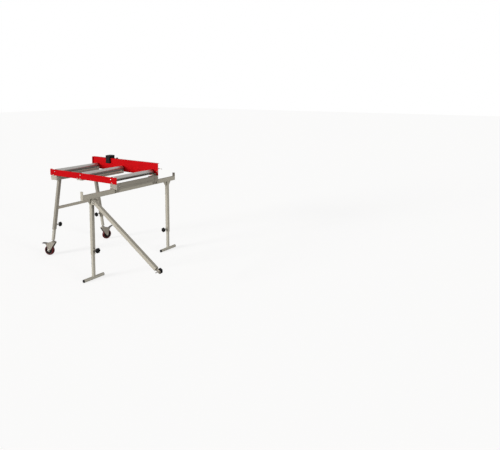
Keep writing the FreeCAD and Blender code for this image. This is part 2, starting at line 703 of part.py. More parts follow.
def frame_bolts():
    grip = "2 * sheet"
    outer = f"-{INNER_FACE} - sheet"
    inner = f"{INNER_FACE} - sheet"
    bolts = []
    for place_x, place_z in BEAM_BOLTS + (FRONT_BRACKET_BOLT,):
        bolts.append(bolt(place_x, outer, place_z, grip))
    for place_x, place_z in BEAM_BOLTS + (REAR_BRACKET_BOLT,):
        bolts.append(bolt(place_x, inner, place_z, grip))
    bolts.append(bolt(FENCE_BOLT[0], INNER_FACE, FENCE_BOLT[1], "sheet"))
    for start in (f"-{INNER_FACE}", inner):
        bolts.append(bolt(CLAMP_BOLT[0], start, CLAMP_BOLT[1], "sheet"))
    for place_y in BRACKET_BOLT_PLACES:
        web = "guide_x + right_beam_face - sheet"
        bolts.append(bolt(web, place_y, "beam_bolt_height", grip, "x"))
    seat("frame_bolts", group(*bolts))


def locating_pin(face, reach, y, z, along, inward):
    """A pin that stands out of a flange, with its root in the flange and a collar inside."""
    collar = f"{face} {inward} sheet"
    back = "-x" if along == "x" else "x"
    return fuse(
        rod("pin_radius", reach, face, y, z, along),
        rod("pin_root_radius", "sheet + pin_collar", face, y, z, back),
        rod("pin_collar_radius", "pin_collar", collar, y, z, back),
    )


def locating_pins():
    """Pins that stand out of the fence's right flange and the side rail's left one."""
    reach = "flange_inset + fence_pin_reach"
    fence_pin = locating_pin(RIGHT_FLANGE_FACE, reach, FENCE_PIN_Y, "fence_pin_height", "x", "-")
    rail_pin = locating_pin(
        f"-{RAIL_END}", "rail_pin_reach", RAIL_PIN_Y, "rail_pin_height", "-x", "+"
    )
    seat("locating_pins", group(fence_pin, rail_pin))


# ---------------------------------------------------------------- rollers

ROLLER_HALF = f"({INNER_FACE} - roller_end_gap)"


def roller(name, place_x):
    bore = "roller_radius - roller_wall"
    tube = turned([
        (bore, f"-{ROLLER_HALF}"),
        ("roller_radius", f"-{ROLLER_HALF}"),
        ("roller_radius", ROLLER_HALF),
        (bore, ROLLER_HALF),
    ])
    seat(name + "_roller_tube", tube, place_x, "0", "roller_height")
    caps = []
    for side in ("-", ""):
        end = f"{side}{ROLLER_HALF}"
        inward = "+" if side else "-"
        outward = "-" if side else "+"
        caps.append(turned([
            ("axle_radius + running_gap", f"{end} {inward} cap_depth"),
            (bore, f"{end} {inward} cap_depth"),
            (bore, end),
            ("cap_boss_radius", end),
            ("cap_boss_radius", f"{end} {outward} cap_boss"),
            ("axle_radius + running_gap", f"{end} {outward} cap_boss"),
        ]))
    seat(name + "_roller_caps", group(*caps), place_x, "0", "roller_height")


def roller_axles():
    axles = []
    for place_x in ROLLER_PLACES:
        bar = rod("axle_radius", "clear_width", place_x, f"-{INNER_FACE}", "roller_height", "y")
        front = rod("bolt_radius", "axle_thread", place_x, f"-{INNER_FACE}", "roller_height", "y")
        rear = rod("bolt_radius", "axle_thread", place_x, INNER_FACE, "roller_height", "-y")
        axles.append(cut(bar, fuse(front, rear)))
    seat("roller_axles", group(*axles))


def axle_bolts():
    face = f"({INNER_FACE} + sheet)"
    bolts = []
    for place_x in ROLLER_PLACES:
        for start, inward, outward in ((f"-{face}", "y", "-y"), (face, "-y", "y")):
            bolts.append(fuse(
                hexagon("bolt_head", place_x, start, "roller_height", outward),
                rod("bolt_radius", "sheet + axle_thread", place_x, start, "roller_height", inward),
            ))
    seat("axle_bolts", group(*bolts))


# ---------------------------------------------------------------- length stop

FLAP_BACK = f"({INNER_FACE} - flap_gap)"
FLAP_PIN_Y = f"({INNER_FACE} - flap_gap - flap_sheet / 2)"
FLAP_PIN_Z = "(stop_top - flap_sheet / 2)"
LIP_END = f"({INNER_FACE} + fence_lip)"
STOP_RIGHT = "(stop_left + stop_length)"
STOP_EAR = "(stop_left + flap_length + turn_gap)"
STOP_HOOK_END = "(fence_top - sheet - stop_gap - stop_hook)"
STOP_KNOB_Y = f"({LIP_END} + stop_knob_radius + stop_knob_gap)"


def stop_carrier():
    """A block that wraps round the fence's lip, with an ear for the hinge pin in front, and a
    bar behind the lip that takes the clamp knob."""
    body = new_body()
    profile = sketch(body, "YZ_Plane", "stop_left")
    polygon(profile, [
        (f"{FLAP_BACK} + stop_gap", "fence_top + stop_gap"),
        (f"{LIP_END} + stop_gap", "fence_top + stop_gap"),
        (f"{LIP_END} + stop_gap", "fence_top - sheet - stop_gap"),
        (f"{LIP_END} - stop_hook_reach", "fence_top - sheet - stop_gap"),
        (f"{LIP_END} - stop_hook_reach", STOP_HOOK_END),
        (f"{LIP_END} + stop_back", STOP_HOOK_END),
        (f"{LIP_END} + stop_back", "stop_top"),
        (f"{FLAP_BACK} + stop_gap", "stop_top"),
    ])
    pad(body, profile, "flap_length + turn_gap + stop_ear")
    bar = sketch(body, "YZ_Plane", "stop_left")
    rectangle(
        bar, f"{LIP_END} + stop_gap", STOP_HOOK_END, f"{LIP_END} + stop_back", "fence_top - stop_bar_drop"
    )
    pad(body, bar, "stop_length")
    ear = sketch(body, "YZ_Plane", STOP_EAR)
    rectangle(ear, f"{FLAP_BACK} - flap_sheet", "stop_top - flap_sheet", INNER_FACE, "stop_top")
    pad(body, ear, "stop_ear")
    pin_hole = sketch(body, "YZ_Plane", STOP_EAR)
    circle(pin_hole, FLAP_PIN_Y, FLAP_PIN_Z, "flap_pin_radius")
    pocket(body, pin_hole, "stop_ear - sheet", reverse=True)
    stud_hole = sketch(body, "YZ_Plane", STOP_RIGHT)
    circle(stud_hole, STOP_KNOB_Y, "stop_knob_height", "flap_pin_radius + running_gap")
    pocket(body, stud_hole, "stop_stud_depth + stud_gap")
    seat("stop_carrier", body)


def stop_flap():
    """The stop plate, rounded about its hinge pin."""
    block = box(
        "flap_length", "flap_sheet", f"{FLAP_PIN_Z} - flap_bottom",
        "stop_left", f"{FLAP_BACK} - flap_sheet", "flap_bottom",
    )
    knuckle = rod("flap_sheet / 2", "flap_length", "stop_left", FLAP_PIN_Y, FLAP_PIN_Z, "x")
    bore = rod(
        "flap_pin_radius + running_gap", "flap_length + 2 * tool_margin",
        "stop_left - tool_margin", FLAP_PIN_Y, FLAP_PIN_Z, "x",
    )
    seat("stop_flap", cut(fuse(block, knuckle), bore))
    length = "flap_length + turn_gap + stop_ear - sheet"
    pin = rod("flap_pin_radius", length, along="x")
    seat("stop_hinge_pin", group(pin), "stop_left", FLAP_PIN_Y, FLAP_PIN_Z)


# ---------------------------------------------------------------- clamp knobs

def knob(label, tip, start, length, radius, stud, x, y, z, about, angle, shoulder=None):
    """A knob with finger scallops and a moulded-in stud; its own Z runs from the stud's tip out.
    A shoulder is (radius, place along Z where it starts)."""
    body = new_body()
    shank = sketch(body, "XY_Plane", tip)
    circle(shank, "0", "0", stud)
    pad(body, shank, f"{start} - ({tip})")
    if shoulder:
        step = sketch(body, "XY_Plane", shoulder[1])
        circle(step, "0", "0", shoulder[0])
        pad(body, step, f"{start} - ({shoulder[1]})")
    head = sketch(body, "XY_Plane", start)
    circle(head, "0", "0", radius)
    pad(body, head, length)
    scallop = sketch(body, "XY_Plane", start)
    circle(scallop, f"{radius} + knob_scallop - knob_bite", "0", "knob_scallop")
    bite = pocket(body, scallop, length, reverse=True)
    pattern = body.newObject("PartDesign::PolarPattern", "lobes")
    pattern.Originals = [bite]
    pattern.Axis = (scallop, ["N_Axis"])
    pattern.Angle = 360
    bind(pattern, Occurrences="knob_lobes")
    body.Tip = pattern
    seat(label, body, x, y, z, about, angle)


def leg_knob(label, x, y, z, about, angle):
    knob(
        label, "inner_side / 2 + stud_gap", "knob_start", "knob_length", "knob_radius", "stud_radius",
        x, y, z, about, angle,
    )


# ---------------------------------------------------------------- telescoping legs

def clamped_tube(low, high, knob_place, knob_along):
    """An outer square tube about the Z axis with a threaded boss for a clamp knob."""
    boss = rod("boss_radius", "tube_side / 2 + boss_height", z=knob_place, along=knob_along)
    thread = rod("stud_radius + running_gap", "tube_side", z=knob_place, along=knob_along)
    bore = post("tube_side - 2 * tube_wall", f"({low}) - tool_margin", f"({high}) + tool_margin")
    return cut(fuse(post("tube_side", low, high), boss), fuse(bore, thread))


def leveled(solid, low, high):
    """The solid between two heights, so that a splayed tube ends in level cuts."""
    reach = "caster_foot_y"
    slab = box(f"2 * {reach}", f"4 * {reach}", f"({high}) - ({low})", f"-{reach}", f"-2 * {reach}", low)
    return common(solid, slab)


def caster_leg(name, side, heading, lift):
    """One splayed leg at the left end; side is + or - for its side of the deck."""
    foot_y = f"{side}caster_foot_y"
    lean = f"{side}caster_tilt"
    inward = "-y" if side == "+" else "y"
    tall = "deck_bottom / cos(caster_tilt)"

    tube = clamped_tube("0", tall, "caster_knob_height / cos(caster_tilt)", inward)
    place(tube, about="x", angle=lean)
    top = "deck_bottom - sheet"
    seat(f"{name}_caster_leg_tube", leveled(tube, "caster_tube_bottom", top), "caster_x", foot_y)

    slider = square_tube("inner_side", "inner_wall", "0", tall)
    place(slider, about="x", angle=lean)
    slider_top = "caster_tube_bottom + caster_slider_depth"
    seat(f"{name}_caster_leg_slider", leveled(slider, "caster_height", slider_top), "caster_x", foot_y)

    knob_y = f"{side}(caster_foot_y - caster_knob_height * tan(caster_tilt))"
    leg_knob(
        f"{name}_caster_leg_knob", "caster_x", knob_y, "caster_knob_height", "x",
        f"{side}(90 + caster_tilt)",
    )
    caster_y = f"{side}(caster_foot_y - caster_height * tan(caster_tilt))"
    caster(name, caster_y, heading, lift)


def caster_crossbar():
    """The bar between the caster legs, cut to their slope at both ends."""
    span = "2 * caster_foot_y"
    half = "crossbar_side / 2"
    low = f"crossbar_height - {half}"
    bar = box("crossbar_side", span, "crossbar_side", f"-{half}", "-caster_foot_y", low)
    inner = "(crossbar_side - 2 * crossbar_wall)"
    bore = box(inner, span, inner, f"-{inner} / 2", "-caster_foot_y", f"crossbar_height - {inner} / 2")
    tools = [bore]
    # A deep block beyond each leg's inner face.
    for side, start in (("+", "-tube_side / 2"), ("-", "tube_side / 2 - caster_foot_y")):
        block = group(box("tube_side", "caster_foot_y", "deck_bottom", "-tube_side / 2", start))
        place(block, "0", f"{side}caster_foot_y", "0", "x", f"{side}caster_tilt")
        tools.append(block)
    seat("caster_leg_crossbar", cut(bar, fuse(*tools)), "caster_x")


# ---------------------------------------------------------------- casters

RACE_BOTTOM = "(caster_height - caster_plate - caster_neck - raceway)"
FORK_TOP = f"({RACE_BOTTOM} - turn_gap)"
CROWN_TOP = f"({FORK_TOP} - fork_race)"
CROWN_BOTTOM = f"({CROWN_TOP} - fork_sheet)"
FORK_WIDTH = "(fork_clear + 2 * fork_sheet)"


def caster_top(name, caster_y):
    """Top plate, neck, fixed raceway and riveted kingpin."""
    side = "caster_plate_side"
    plate = box(side, side, "caster_plate", f"-{side} / 2", f"-{side} / 2", "caster_height - caster_plate")
    neck = rod("caster_neck_radius", "caster_neck", z="caster_height - caster_plate - caster_neck")
    race = rod("raceway_radius", "raceway", z=RACE_BOTTOM)
    pin_bottom = f"({CROWN_BOTTOM} - turn_gap)"
    pin = rod("kingpin_radius", f"{RACE_BOTTOM} - {pin_bottom}", z=pin_bottom)
    rivet = rod("kingpin_head", "fork_sheet", z=f"{pin_bottom} - fork_sheet")
    seat(f"{name}_caster_top", fuse(plate, neck, race, pin, rivet), "caster_x", caster_y)


def caster_fork(name, caster_y, heading):
    """Crown and two cheeks; the cheeks carry the axle and the pedal's pivot."""
    body = new_body()
    outline = sketch(body, "XZ_Plane")
    polygon(outline, [
        ("-raceway_radius", CROWN_TOP),
        ("-raceway_radius", f"{CROWN_TOP} - fork_shoulder"),
        ("trail - hub_radius", "wheel_radius - hub_radius / 2"),
        ("trail - hub_radius / 2", "wheel_radius - hub_radius"),
        ("trail + hub_radius / 2", "wheel_radius - hub_radius"),
        ("trail + hub_radius", "wheel_radius - hub_radius / 2"),
        ("trail + hub_radius", "pedal_z - 4 * pedal_pin_edge"),
        ("pedal_x + pedal_pin_edge", "pedal_z - pedal_pin_edge"),
        ("pedal_x + pedal_pin_edge", "pedal_z + pedal_pin_edge"),
        ("raceway_radius + fork_sheet", CROWN_TOP),
    ])
    pad(body, outline, FORK_WIDTH, both=True)
    race = sketch(body, "XY_Plane", CROWN_TOP)
    circle(race, "0", "0", "raceway_radius")
    pad(body, race, "fork_race")
    inside = sketch(body, "YZ_Plane")
    rectangle(inside, "-fork_clear / 2", "0", "fork_clear / 2", CROWN_BOTTOM)
    pocket(body, inside, "4 * wheel_radius", both=True)
    kingpin = sketch(body, "XY_Plane", FORK_TOP)
    circle(kingpin, "0", "0", "kingpin_radius + running_gap")
    pocket(body, kingpin, "fork_race + 2 * fork_sheet")
    pins = sketch(body, "XZ_Plane")
    circle(pins, "trail", "wheel_radius", "caster_axle_radius")
    circle(pins, "pedal_x", "pedal_z", "pedal_pin_radius")
    pocket(body, pins, f"2 * {FORK_WIDTH}", both=True)
    seat(f"{name}_caster_fork", body, "caster_x", caster_y, "0", "z", heading)


def caster_wheel(name, caster_y, heading):
    """Core with a dished web, and the tread around it."""
    core_radius = "(wheel_radius - tread_depth)"
    rim_radius = f"({core_radius} - rim_depth)"
    bore = "caster_axle_radius + running_gap"
    half = "wheel_width / 2"
    axle = (f"caster_x + trail * cos({heading})", f"{caster_y} + trail * sin({heading})", "wheel_radius")
    core = turned([
        (bore, "-hub_width / 2"),
        ("hub_radius", "-hub_width / 2"),
        ("hub_radius", f"-{half} + web_recess"),
        (rim_radius, f"-{half} + web_recess"),
        (rim_radius, f"-{half}"),
        (core_radius, f"-{half}"),
        (core_radius, half),
        (rim_radius, half),
        (rim_radius, f"{half} - web_recess"),
        ("hub_radius", f"{half} - web_recess"),
        ("hub_radius", "hub_width / 2"),
        (bore, "hub_width / 2"),
    ])
    seat(f"{name}_wheel_core", core, *axle, "z", heading)
    tread = turned([
        (core_radius, f"-{half}"),
        ("wheel_radius - tread_chamfer", f"-{half}"),
        ("wheel_radius", f"-{half} + tread_chamfer"),
        ("wheel_radius", f"{half} - tread_chamfer"),
        ("wheel_radius - tread_chamfer", half),
        (core_radius, half),
    ])
    seat(f"{name}_wheel_tread", tread, *axle, "z", heading)


def stepped_pin(half_grip, radius, head_radius, head):
    """A pin along Y with a head at both ends, outside the grip."""
    return turned([
        ("0", f"-({half_grip}) - {head}"),
        (head_radius, f"-({half_grip}) - {head}"),
        (head_radius, f"-({half_grip})"),
        (radius, f"-({half_grip})"),
        (radius, half_grip),
        (head_radius, half_grip),
        (head_radius, f"{half_grip} + {head}"),
        ("0", f"{half_grip} + {head}"),
    ])


def caster_pins(name, caster_y, heading):
    """The wheel's axle and the pedal's pivot, both fixed in the fork."""
    half = f"({FORK_WIDTH} / 2)"
    axle = stepped_pin(half, "caster_axle_radius", "caster_axle_head_radius", "caster_axle_head")
    place(axle, "trail", "0", "wheel_radius")
    pivot = stepped_pin(half, "pedal_pin_radius", "pedal_pin_head_radius", "pedal_pin_head")
    place(pivot, "pedal_x", "0", "pedal_z")
    seat(f"{name}_caster_pins", group(axle, pivot), "caster_x", caster_y, "0", "z", heading)


def caster_pedal(name, caster_y, heading, lift):
    """Foot lever of the brake, with its cam above the tread; lift raises its free end."""
    body = new_body()
    outline = sketch(body, "XZ_Plane")
    polygon(outline, [
        ("-pedal_hub", "-pedal_sheet"),
        ("-pedal_sheet", "-pedal_cam"),
        ("pedal_sheet / 2", "-pedal_cam"),
        ("pedal_bend", "pedal_sheet / 2"),
        ("pedal_arm", "pedal_sheet"),
        ("pedal_arm", "2 * pedal_sheet"),
        ("pedal_bend", "2 * pedal_sheet"),
        ("-pedal_hub", "pedal_sheet"),
    ])
    pad(body, outline, "pedal_width", both=True)
    hole = sketch(body, "XZ_Plane")
    circle(hole, "0", "0", "pedal_pin_radius + running_gap")
    pocket(body, hole, "2 * pedal_width", both=True)
    place(body, "pedal_x", "0", "pedal_z", "y", f"-{lift}")
    seat(f"{name}_caster_pedal", group(body), "caster_x", caster_y, "0", "z", heading)


def caster(name, caster_y, heading, lift):
    caster_top(name, caster_y)
    caster_fork(name, caster_y, heading)
    caster_wheel(name, caster_y, heading)
    caster_pins(name, caster_y, heading)
    caster_pedal(name, caster_y, heading, lift)


# ---------------------------------------------------------------- guide rail and its legs

def guide_rail():
    length = "guide_rear - guide_front"
    bar = box("guide_width", length, "guide_height", "-guide_width / 2", "guide_front", "guide_bottom")
    bore_width = "(guide_width - 2 * guide_wall)"
    bore = box(
        bore_width, f"{length} + 2 * tool_margin", "guide_height - 2 * guide_wall",
        f"-{bore_width} / 2", "guide_front - tool_margin", "guide_bottom + guide_wall",
    )
    seat("guide_rail", cut(bar, bore), "guide_x")
    plates = []
    for start in ("guide_front - guide_stop_sheet", "guide_rear"):
        plates.append(box(
            "guide_width", "guide_stop_sheet", "guide_stop_height", "-guide_width / 2", start,
            "guide_bottom",
        ))
    seat("guide_rail_stops", group(*plates), "guide_x")


def guide_leg(name, leg_y, tube_bottom, knob_height, knob_along):
    """Outer tube under the guide rail, inner tube, round foot tube with plugs, clamp knob."""
    tube = clamped_tube(tube_bottom, "guide_bottom", knob_height, knob_along)
    seat(f"{name}_leg_tube", tube, "guide_x", leg_y)

    bar = square_tube("inner_side", "inner_wall", "foot_radius", f"{tube_bottom} + leg_slider_depth")
    saddle = rod("foot_radius", "4 * inner_side", y="-2 * inner_side", z="foot_radius", along="y")
    seat(f"{name}_leg_slider", cut(bar, saddle), "guide_x", leg_y)

    half = "(foot_length / 2)"
    outside = rod("foot_radius", "foot_length", y=f"-{half}", along="y")
    inside = rod(
        "foot_radius - foot_wall", "foot_length + 2 * tool_margin", y=f"-{half} - tool_margin", along="y"
    )
    seat(f"{name}_foot_tube", cut(outside, inside), "guide_x", leg_y, "foot_radius")
    plugs = []
    for side, inward in (("", "-"), ("-", "+")):
        end = f"{side}{half}"
        outward = "-" if side else "+"
        plugs.append(turned([
            ("0", f"{end} {inward} plug_depth"),
            ("foot_radius - foot_wall", f"{end} {inward} plug_depth"),
            ("foot_radius - foot_wall", end),
            ("foot_radius", end),
            ("foot_radius", f"{end} {outward} plug_head"),
            ("0", f"{end} {outward} plug_head"),
        ]))
    seat(f"{name}_foot_plugs", group(*plugs), "guide_x", leg_y, "foot_radius")

    about, angle = TURNS[knob_along]
    leg_knob(f"{name}_leg_knob", "guide_x", leg_y, knob_height, about, angle)


def leg_gussets():
    """Triangular plates in the corners between the guide rail and its two legs."""
    plates = []
    for leg_y in ("front_leg_y", "rear_leg_y"):
        for side in ("-", "+"):
            body = new_body()
            outline = sketch(body, "YZ_Plane", "-gusset_sheet / 2")
            face = f"{side}(tube_side / 2"
            polygon(outline, [
                (f"{face})", "0"),
                (f"{face} + gusset_width)", "0"),
                (f"{face} + gusset_width)", "-gusset_edge"),
                (f"{face} + gusset_edge)", "-gusset_height"),
                (f"{face})", "-gusset_height"),
            ])
            pad(body, outline, "gusset_sheet")
            place(body, "0", leg_y, "guide_bottom")
            plates.append(body)
    seat("leg_gussets", group(*plates), "guide_x")


# ---------------------------------------------------------------- brace to the saw

BRACE_X = "(guide_x + brace_shift)"
EAR_INNER = "(brace_side / 2 + brace_ear_gap)"
EAR_OUTER = "(brace_side / 2 + brace_ear_gap + brace_ear_sheet)"


def brace_bracket():
    """Folded bracket on the front leg with an ear on each side of the brace."""
    body = new_body()
    profile = sketch(body, "XY_Plane", "brace_ear_top - brace_ear_height")
    web = "tube_side / 2"
    polygon(profile, [
        (web, f"-{EAR_OUTER}"),
        ("brace_ear_reach", f"-{EAR_OUTER}"),
        ("brace_ear_reach", f"-{EAR_INNER}"),
        (f"{web} + brace_ear_sheet", f"-{EAR_INNER}"),
        (f"{web} + brace_ear_sheet", EAR_INNER),
        ("brace_ear_reach", EAR_INNER),
        ("brace_ear_reach", EAR_OUTER),
        (web, EAR_OUTER),
    ])
    pad(body, profile, "brace_ear_height")
    hole = sketch(body, "XZ_Plane")
    circle(hole, "brace_shift", "brace_pivot_height", "brace_bolt_radius")
    pocket(body, hole, f"4 * {EAR_OUTER}", both=True)
    seat("brace_bracket", body, "guide_x", "front_leg_y")
    pivot = stepped_pin(EAR_OUTER, "brace_bolt_radius", "brace_bolt_head_radius", "brace_bolt_head")
    seat("brace_pivot_bolt", pivot, BRACE_X, "front_leg_y", "brace_pivot_height")


def brace():
    """Square tube down to the saw, with a drilled tongue and a clamp knob at its end."""
    half = "brace_side / 2"
    length = "brace_length + brace_overhang"
    bar = box(length, "brace_side", "brace_side", "-brace_overhang", f"-{half}", f"-{half}")
    inner = "(brace_side - 2 * brace_wall)"
    bore = box(
        f"{length} + 2 * tool_margin", inner, inner,
        "-brace_overhang - tool_margin", f"-{inner} / 2", f"-{inner} / 2",
    )
    pivot = rod("brace_bolt_radius + running_gap", "2 * brace_side", y="-brace_side", along="y")
    slope = ("front_leg_y", "brace_pivot_height", "y", "brace_slope")
    seat("brace_tube", cut(bar, fuse(bore, pivot)), BRACE_X, *slope)

    tongue = box(
        "tongue_seat + tongue_reach", "tongue_sheet", inner,
        "brace_length - tongue_seat", "-tongue_sheet / 2", f"-{inner} / 2",
    )
    reach = "(brace_length + tongue_hole)"
    bore_radius = "brace_stud_shoulder + running_gap"
    hole = rod(bore_radius, "2 * brace_side", reach, "-brace_side", along="y")
    seat("brace_tongue", cut(tongue, hole), BRACE_X, *slope)

    knob(
        "brace_knob", "-tongue_sheet / 2 - brace_stud_reach", "tongue_sheet / 2 + turn_gap",
        "knob_length", "knob_radius", "stud_radius",
        f"{BRACE_X} + {reach} * cos(brace_slope)", "front_leg_y",
        f"brace_pivot_height - {reach} * sin(brace_slope)", "x", "-90",
        ("brace_stud_shoulder", "-tongue_sheet / 2"),
    )


def stop_knob():
    knob(
        "stop_knob", "-stop_stud_depth", "turn_gap", "stop_knob_length", "stop_knob_radius",
        "flap_pin_radius", STOP_RIGHT, STOP_KNOB_Y, "stop_knob_height", "y", "90",
    )


# ---------------------------------------------------------------- build, check, write

def build():
    fill_sheet()
    side_rail()
    fence()
    cross_beams()
    right_cross_beam()
    carriage_brackets()
    carriage_glides()
    frame_bolts()
    locating_pins()
    for name, place_x in zip(("left", "middle", "right"), ROLLER_PLACES):
        roller(name, place_x)
    roller_axles()
    axle_bolts()
    stop_carrier()
    stop_flap()
    stop_knob()
    caster_leg("front", "-", "front_heading", "front_pedal_lift")
    caster_leg("rear", "+", "rear_heading", "rear_pedal_lift")
    caster_crossbar()
    guide_rail()
    guide_leg("front", "front_leg_y", "front_tube_bottom", "front_knob_height", "x")
    guide_leg("rear", "rear_leg_y", "rear_tube_bottom", "rear_knob_height", "-y")
    leg_gussets()
    brace_bracket()
    brace()
    DOC.recompute()


def check_and_write():
    for thing in DOC.Objects:
        if "Invalid" in thing.State or "Error" in thing.State:
            raise RuntimeError(f"{thing.Name} in {thing.Label}: {thing.State}")
    for piece in PIECES:
        if piece.Shape.isNull() or not piece.Shape.isValid():
            raise RuntimeError(f"{piece.Label}: its shape is empty or not valid")
        piece.Shape.exportStep(f"parts/{piece.Label}.step")
        print(piece.Label, len(piece.Shape.Solids), round(piece.Shape.Volume))


build()
check_and_write()
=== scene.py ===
import json
import math

import bmesh
import bpy
from bpy.props import FloatProperty, FloatVectorProperty, IntProperty, PointerProperty
from bpy.types import Operator, Panel, PropertyGroup
from mathutils import Matrix, Vector


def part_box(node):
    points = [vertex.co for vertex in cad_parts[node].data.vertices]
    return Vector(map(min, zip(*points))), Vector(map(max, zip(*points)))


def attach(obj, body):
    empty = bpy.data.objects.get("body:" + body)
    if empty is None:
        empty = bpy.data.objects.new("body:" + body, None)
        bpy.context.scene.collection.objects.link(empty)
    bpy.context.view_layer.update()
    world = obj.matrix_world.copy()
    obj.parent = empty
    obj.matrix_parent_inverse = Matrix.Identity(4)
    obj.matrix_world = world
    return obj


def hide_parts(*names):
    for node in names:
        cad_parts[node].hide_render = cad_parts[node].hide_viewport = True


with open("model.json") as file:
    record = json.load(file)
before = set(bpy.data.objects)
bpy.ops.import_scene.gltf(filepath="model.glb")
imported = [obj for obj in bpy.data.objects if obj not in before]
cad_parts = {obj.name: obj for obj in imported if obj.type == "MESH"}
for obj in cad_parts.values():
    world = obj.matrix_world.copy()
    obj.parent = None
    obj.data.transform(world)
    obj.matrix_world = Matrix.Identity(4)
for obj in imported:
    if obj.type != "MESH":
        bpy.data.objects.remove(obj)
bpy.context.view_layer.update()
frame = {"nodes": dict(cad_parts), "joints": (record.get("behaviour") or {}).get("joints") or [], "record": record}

bl_info = {
    "name": "Roller table",
    "version": (1, 0, 0),
    "blender": (4, 5, 0),
    "location": "3D View > Sidebar > Roller table",
    "description": "Builds a roller table that stands beside a saw, piece by piece",
    "category": "Add Mesh",
}

MM = 0.001
UP = Vector((0, 0, 1))
JOINTS = {joint["name"]: joint for joint in frame["joints"]}
SLOTS = {part["node"]: part["material_slot"] for part in frame["record"]["subparts"]}
BODIES = {
    node: body for body, nodes in frame["record"]["behaviour"]["bodies"].items() for node in nodes
}


# ---------------------------------------------------------------- places, in millimetres

def box(node):
    """Lowest and highest corner of a CAD node."""
    low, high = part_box(node)
    return low / MM, high / MM


def middle(node):
    low, high = box(node)
    return (low + high) / 2


def pivot(joint):
    return Vector(JOINTS[joint]["pos_m"]) / MM


def axis(joint):
    return Vector(JOINTS[joint]["axis"])


def seat(place, along, across=None):
    """Matrix that lays a shape's own Z along one direction and its X as near across as it can."""
    z = Vector(along).normalized()
    if across is None:
        across = Vector((1, 0, 0)) if abs(z.x) < 0.9 else Vector((0, 1, 0))
    y = z.cross(Vector(across)).normalized()
    matrix = Matrix((y.cross(z), y, z)).transposed().to_4x4()
    matrix.translation = Vector(place)
    return matrix


def solids(node):
    """The separate solids of a CAD node, each as a list of its corners, from left to right."""
    mesh = bmesh.new()
    mesh.from_mesh(frame["nodes"][node].data)
    bmesh.ops.remove_doubles(mesh, verts=mesh.verts, dist=1e-6)
    waiting = set(mesh.verts)
    found = []
    while waiting:
        start = waiting.pop()
        solid, border = [start], [start]
        while border:
            for edge in border.pop().link_edges:
                for corner in edge.verts:
                    if corner in waiting:
                        waiting.remove(corner)
                        solid.append(corner)
                        border.append(corner)
        found.append([corner.co / MM for corner in solid])
    mesh.free()
    return sorted(found, key=lambda solid: tuple(round(value, 1) for value in min(solid)))


def span(corners):
    low = Vector([min(corner[n] for corner in corners) for n in range(3)])
    high = Vector([max(corner[n] for corner in corners) for n in range(3)])
    return low, high


# ---------------------------------------------------------------- outlines

def ring(radius, along, steps=48):
    """A circle, or a closed curve whose radius is a function of the angle."""
    points = []
    for step in range(steps):
        angle = 2 * math.pi * step / steps
        r = radius(angle) if callable(radius) else radius
        points.append((r * math.cos(angle), r * math.sin(angle), along))
    return points


def rounded(width, depth, radius, steps=5):
    """Outline of a rectangle with rounded corners."""
    outline = []
    for corner in range(4):
        centre_x = (width / 2 - radius) * (1, -1, -1, 1)[corner]
        centre_y = (depth / 2 - radius) * (1, 1, -1, -1)[corner]
        for step in range(steps + 1):
            angle = math.pi / 2 * (corner + step / steps)
            outline.append((centre_x + radius * math.cos(angle), centre_y + radius * math.sin(angle)))
    return outline


def hexagon(flats):
    """Radius of a hexagon by angle, from its width across flats."""
    def radius(angle):
        return flats / 2 / math.cos((angle + math.pi / 6) % (math.pi / 3) - math.pi / 6)
    return radius


def level(place, height):
    """Where each line along a seat's Z meets a level plane."""
    return plane(place, Vector((0, 0, height)), UP)


def plane(place, point, normal):
    """Where each line along a seat's Z meets a plane."""
    direction = place.to_3x3() @ UP

    def along(x, y):
        start = place @ Vector((x, y, 0))
        return (point - start).dot(normal) / direction.dot(normal)
    return along


# ---------------------------------------------------------------- shapes

def details():
    return bpy.context.scene.roller_table_details


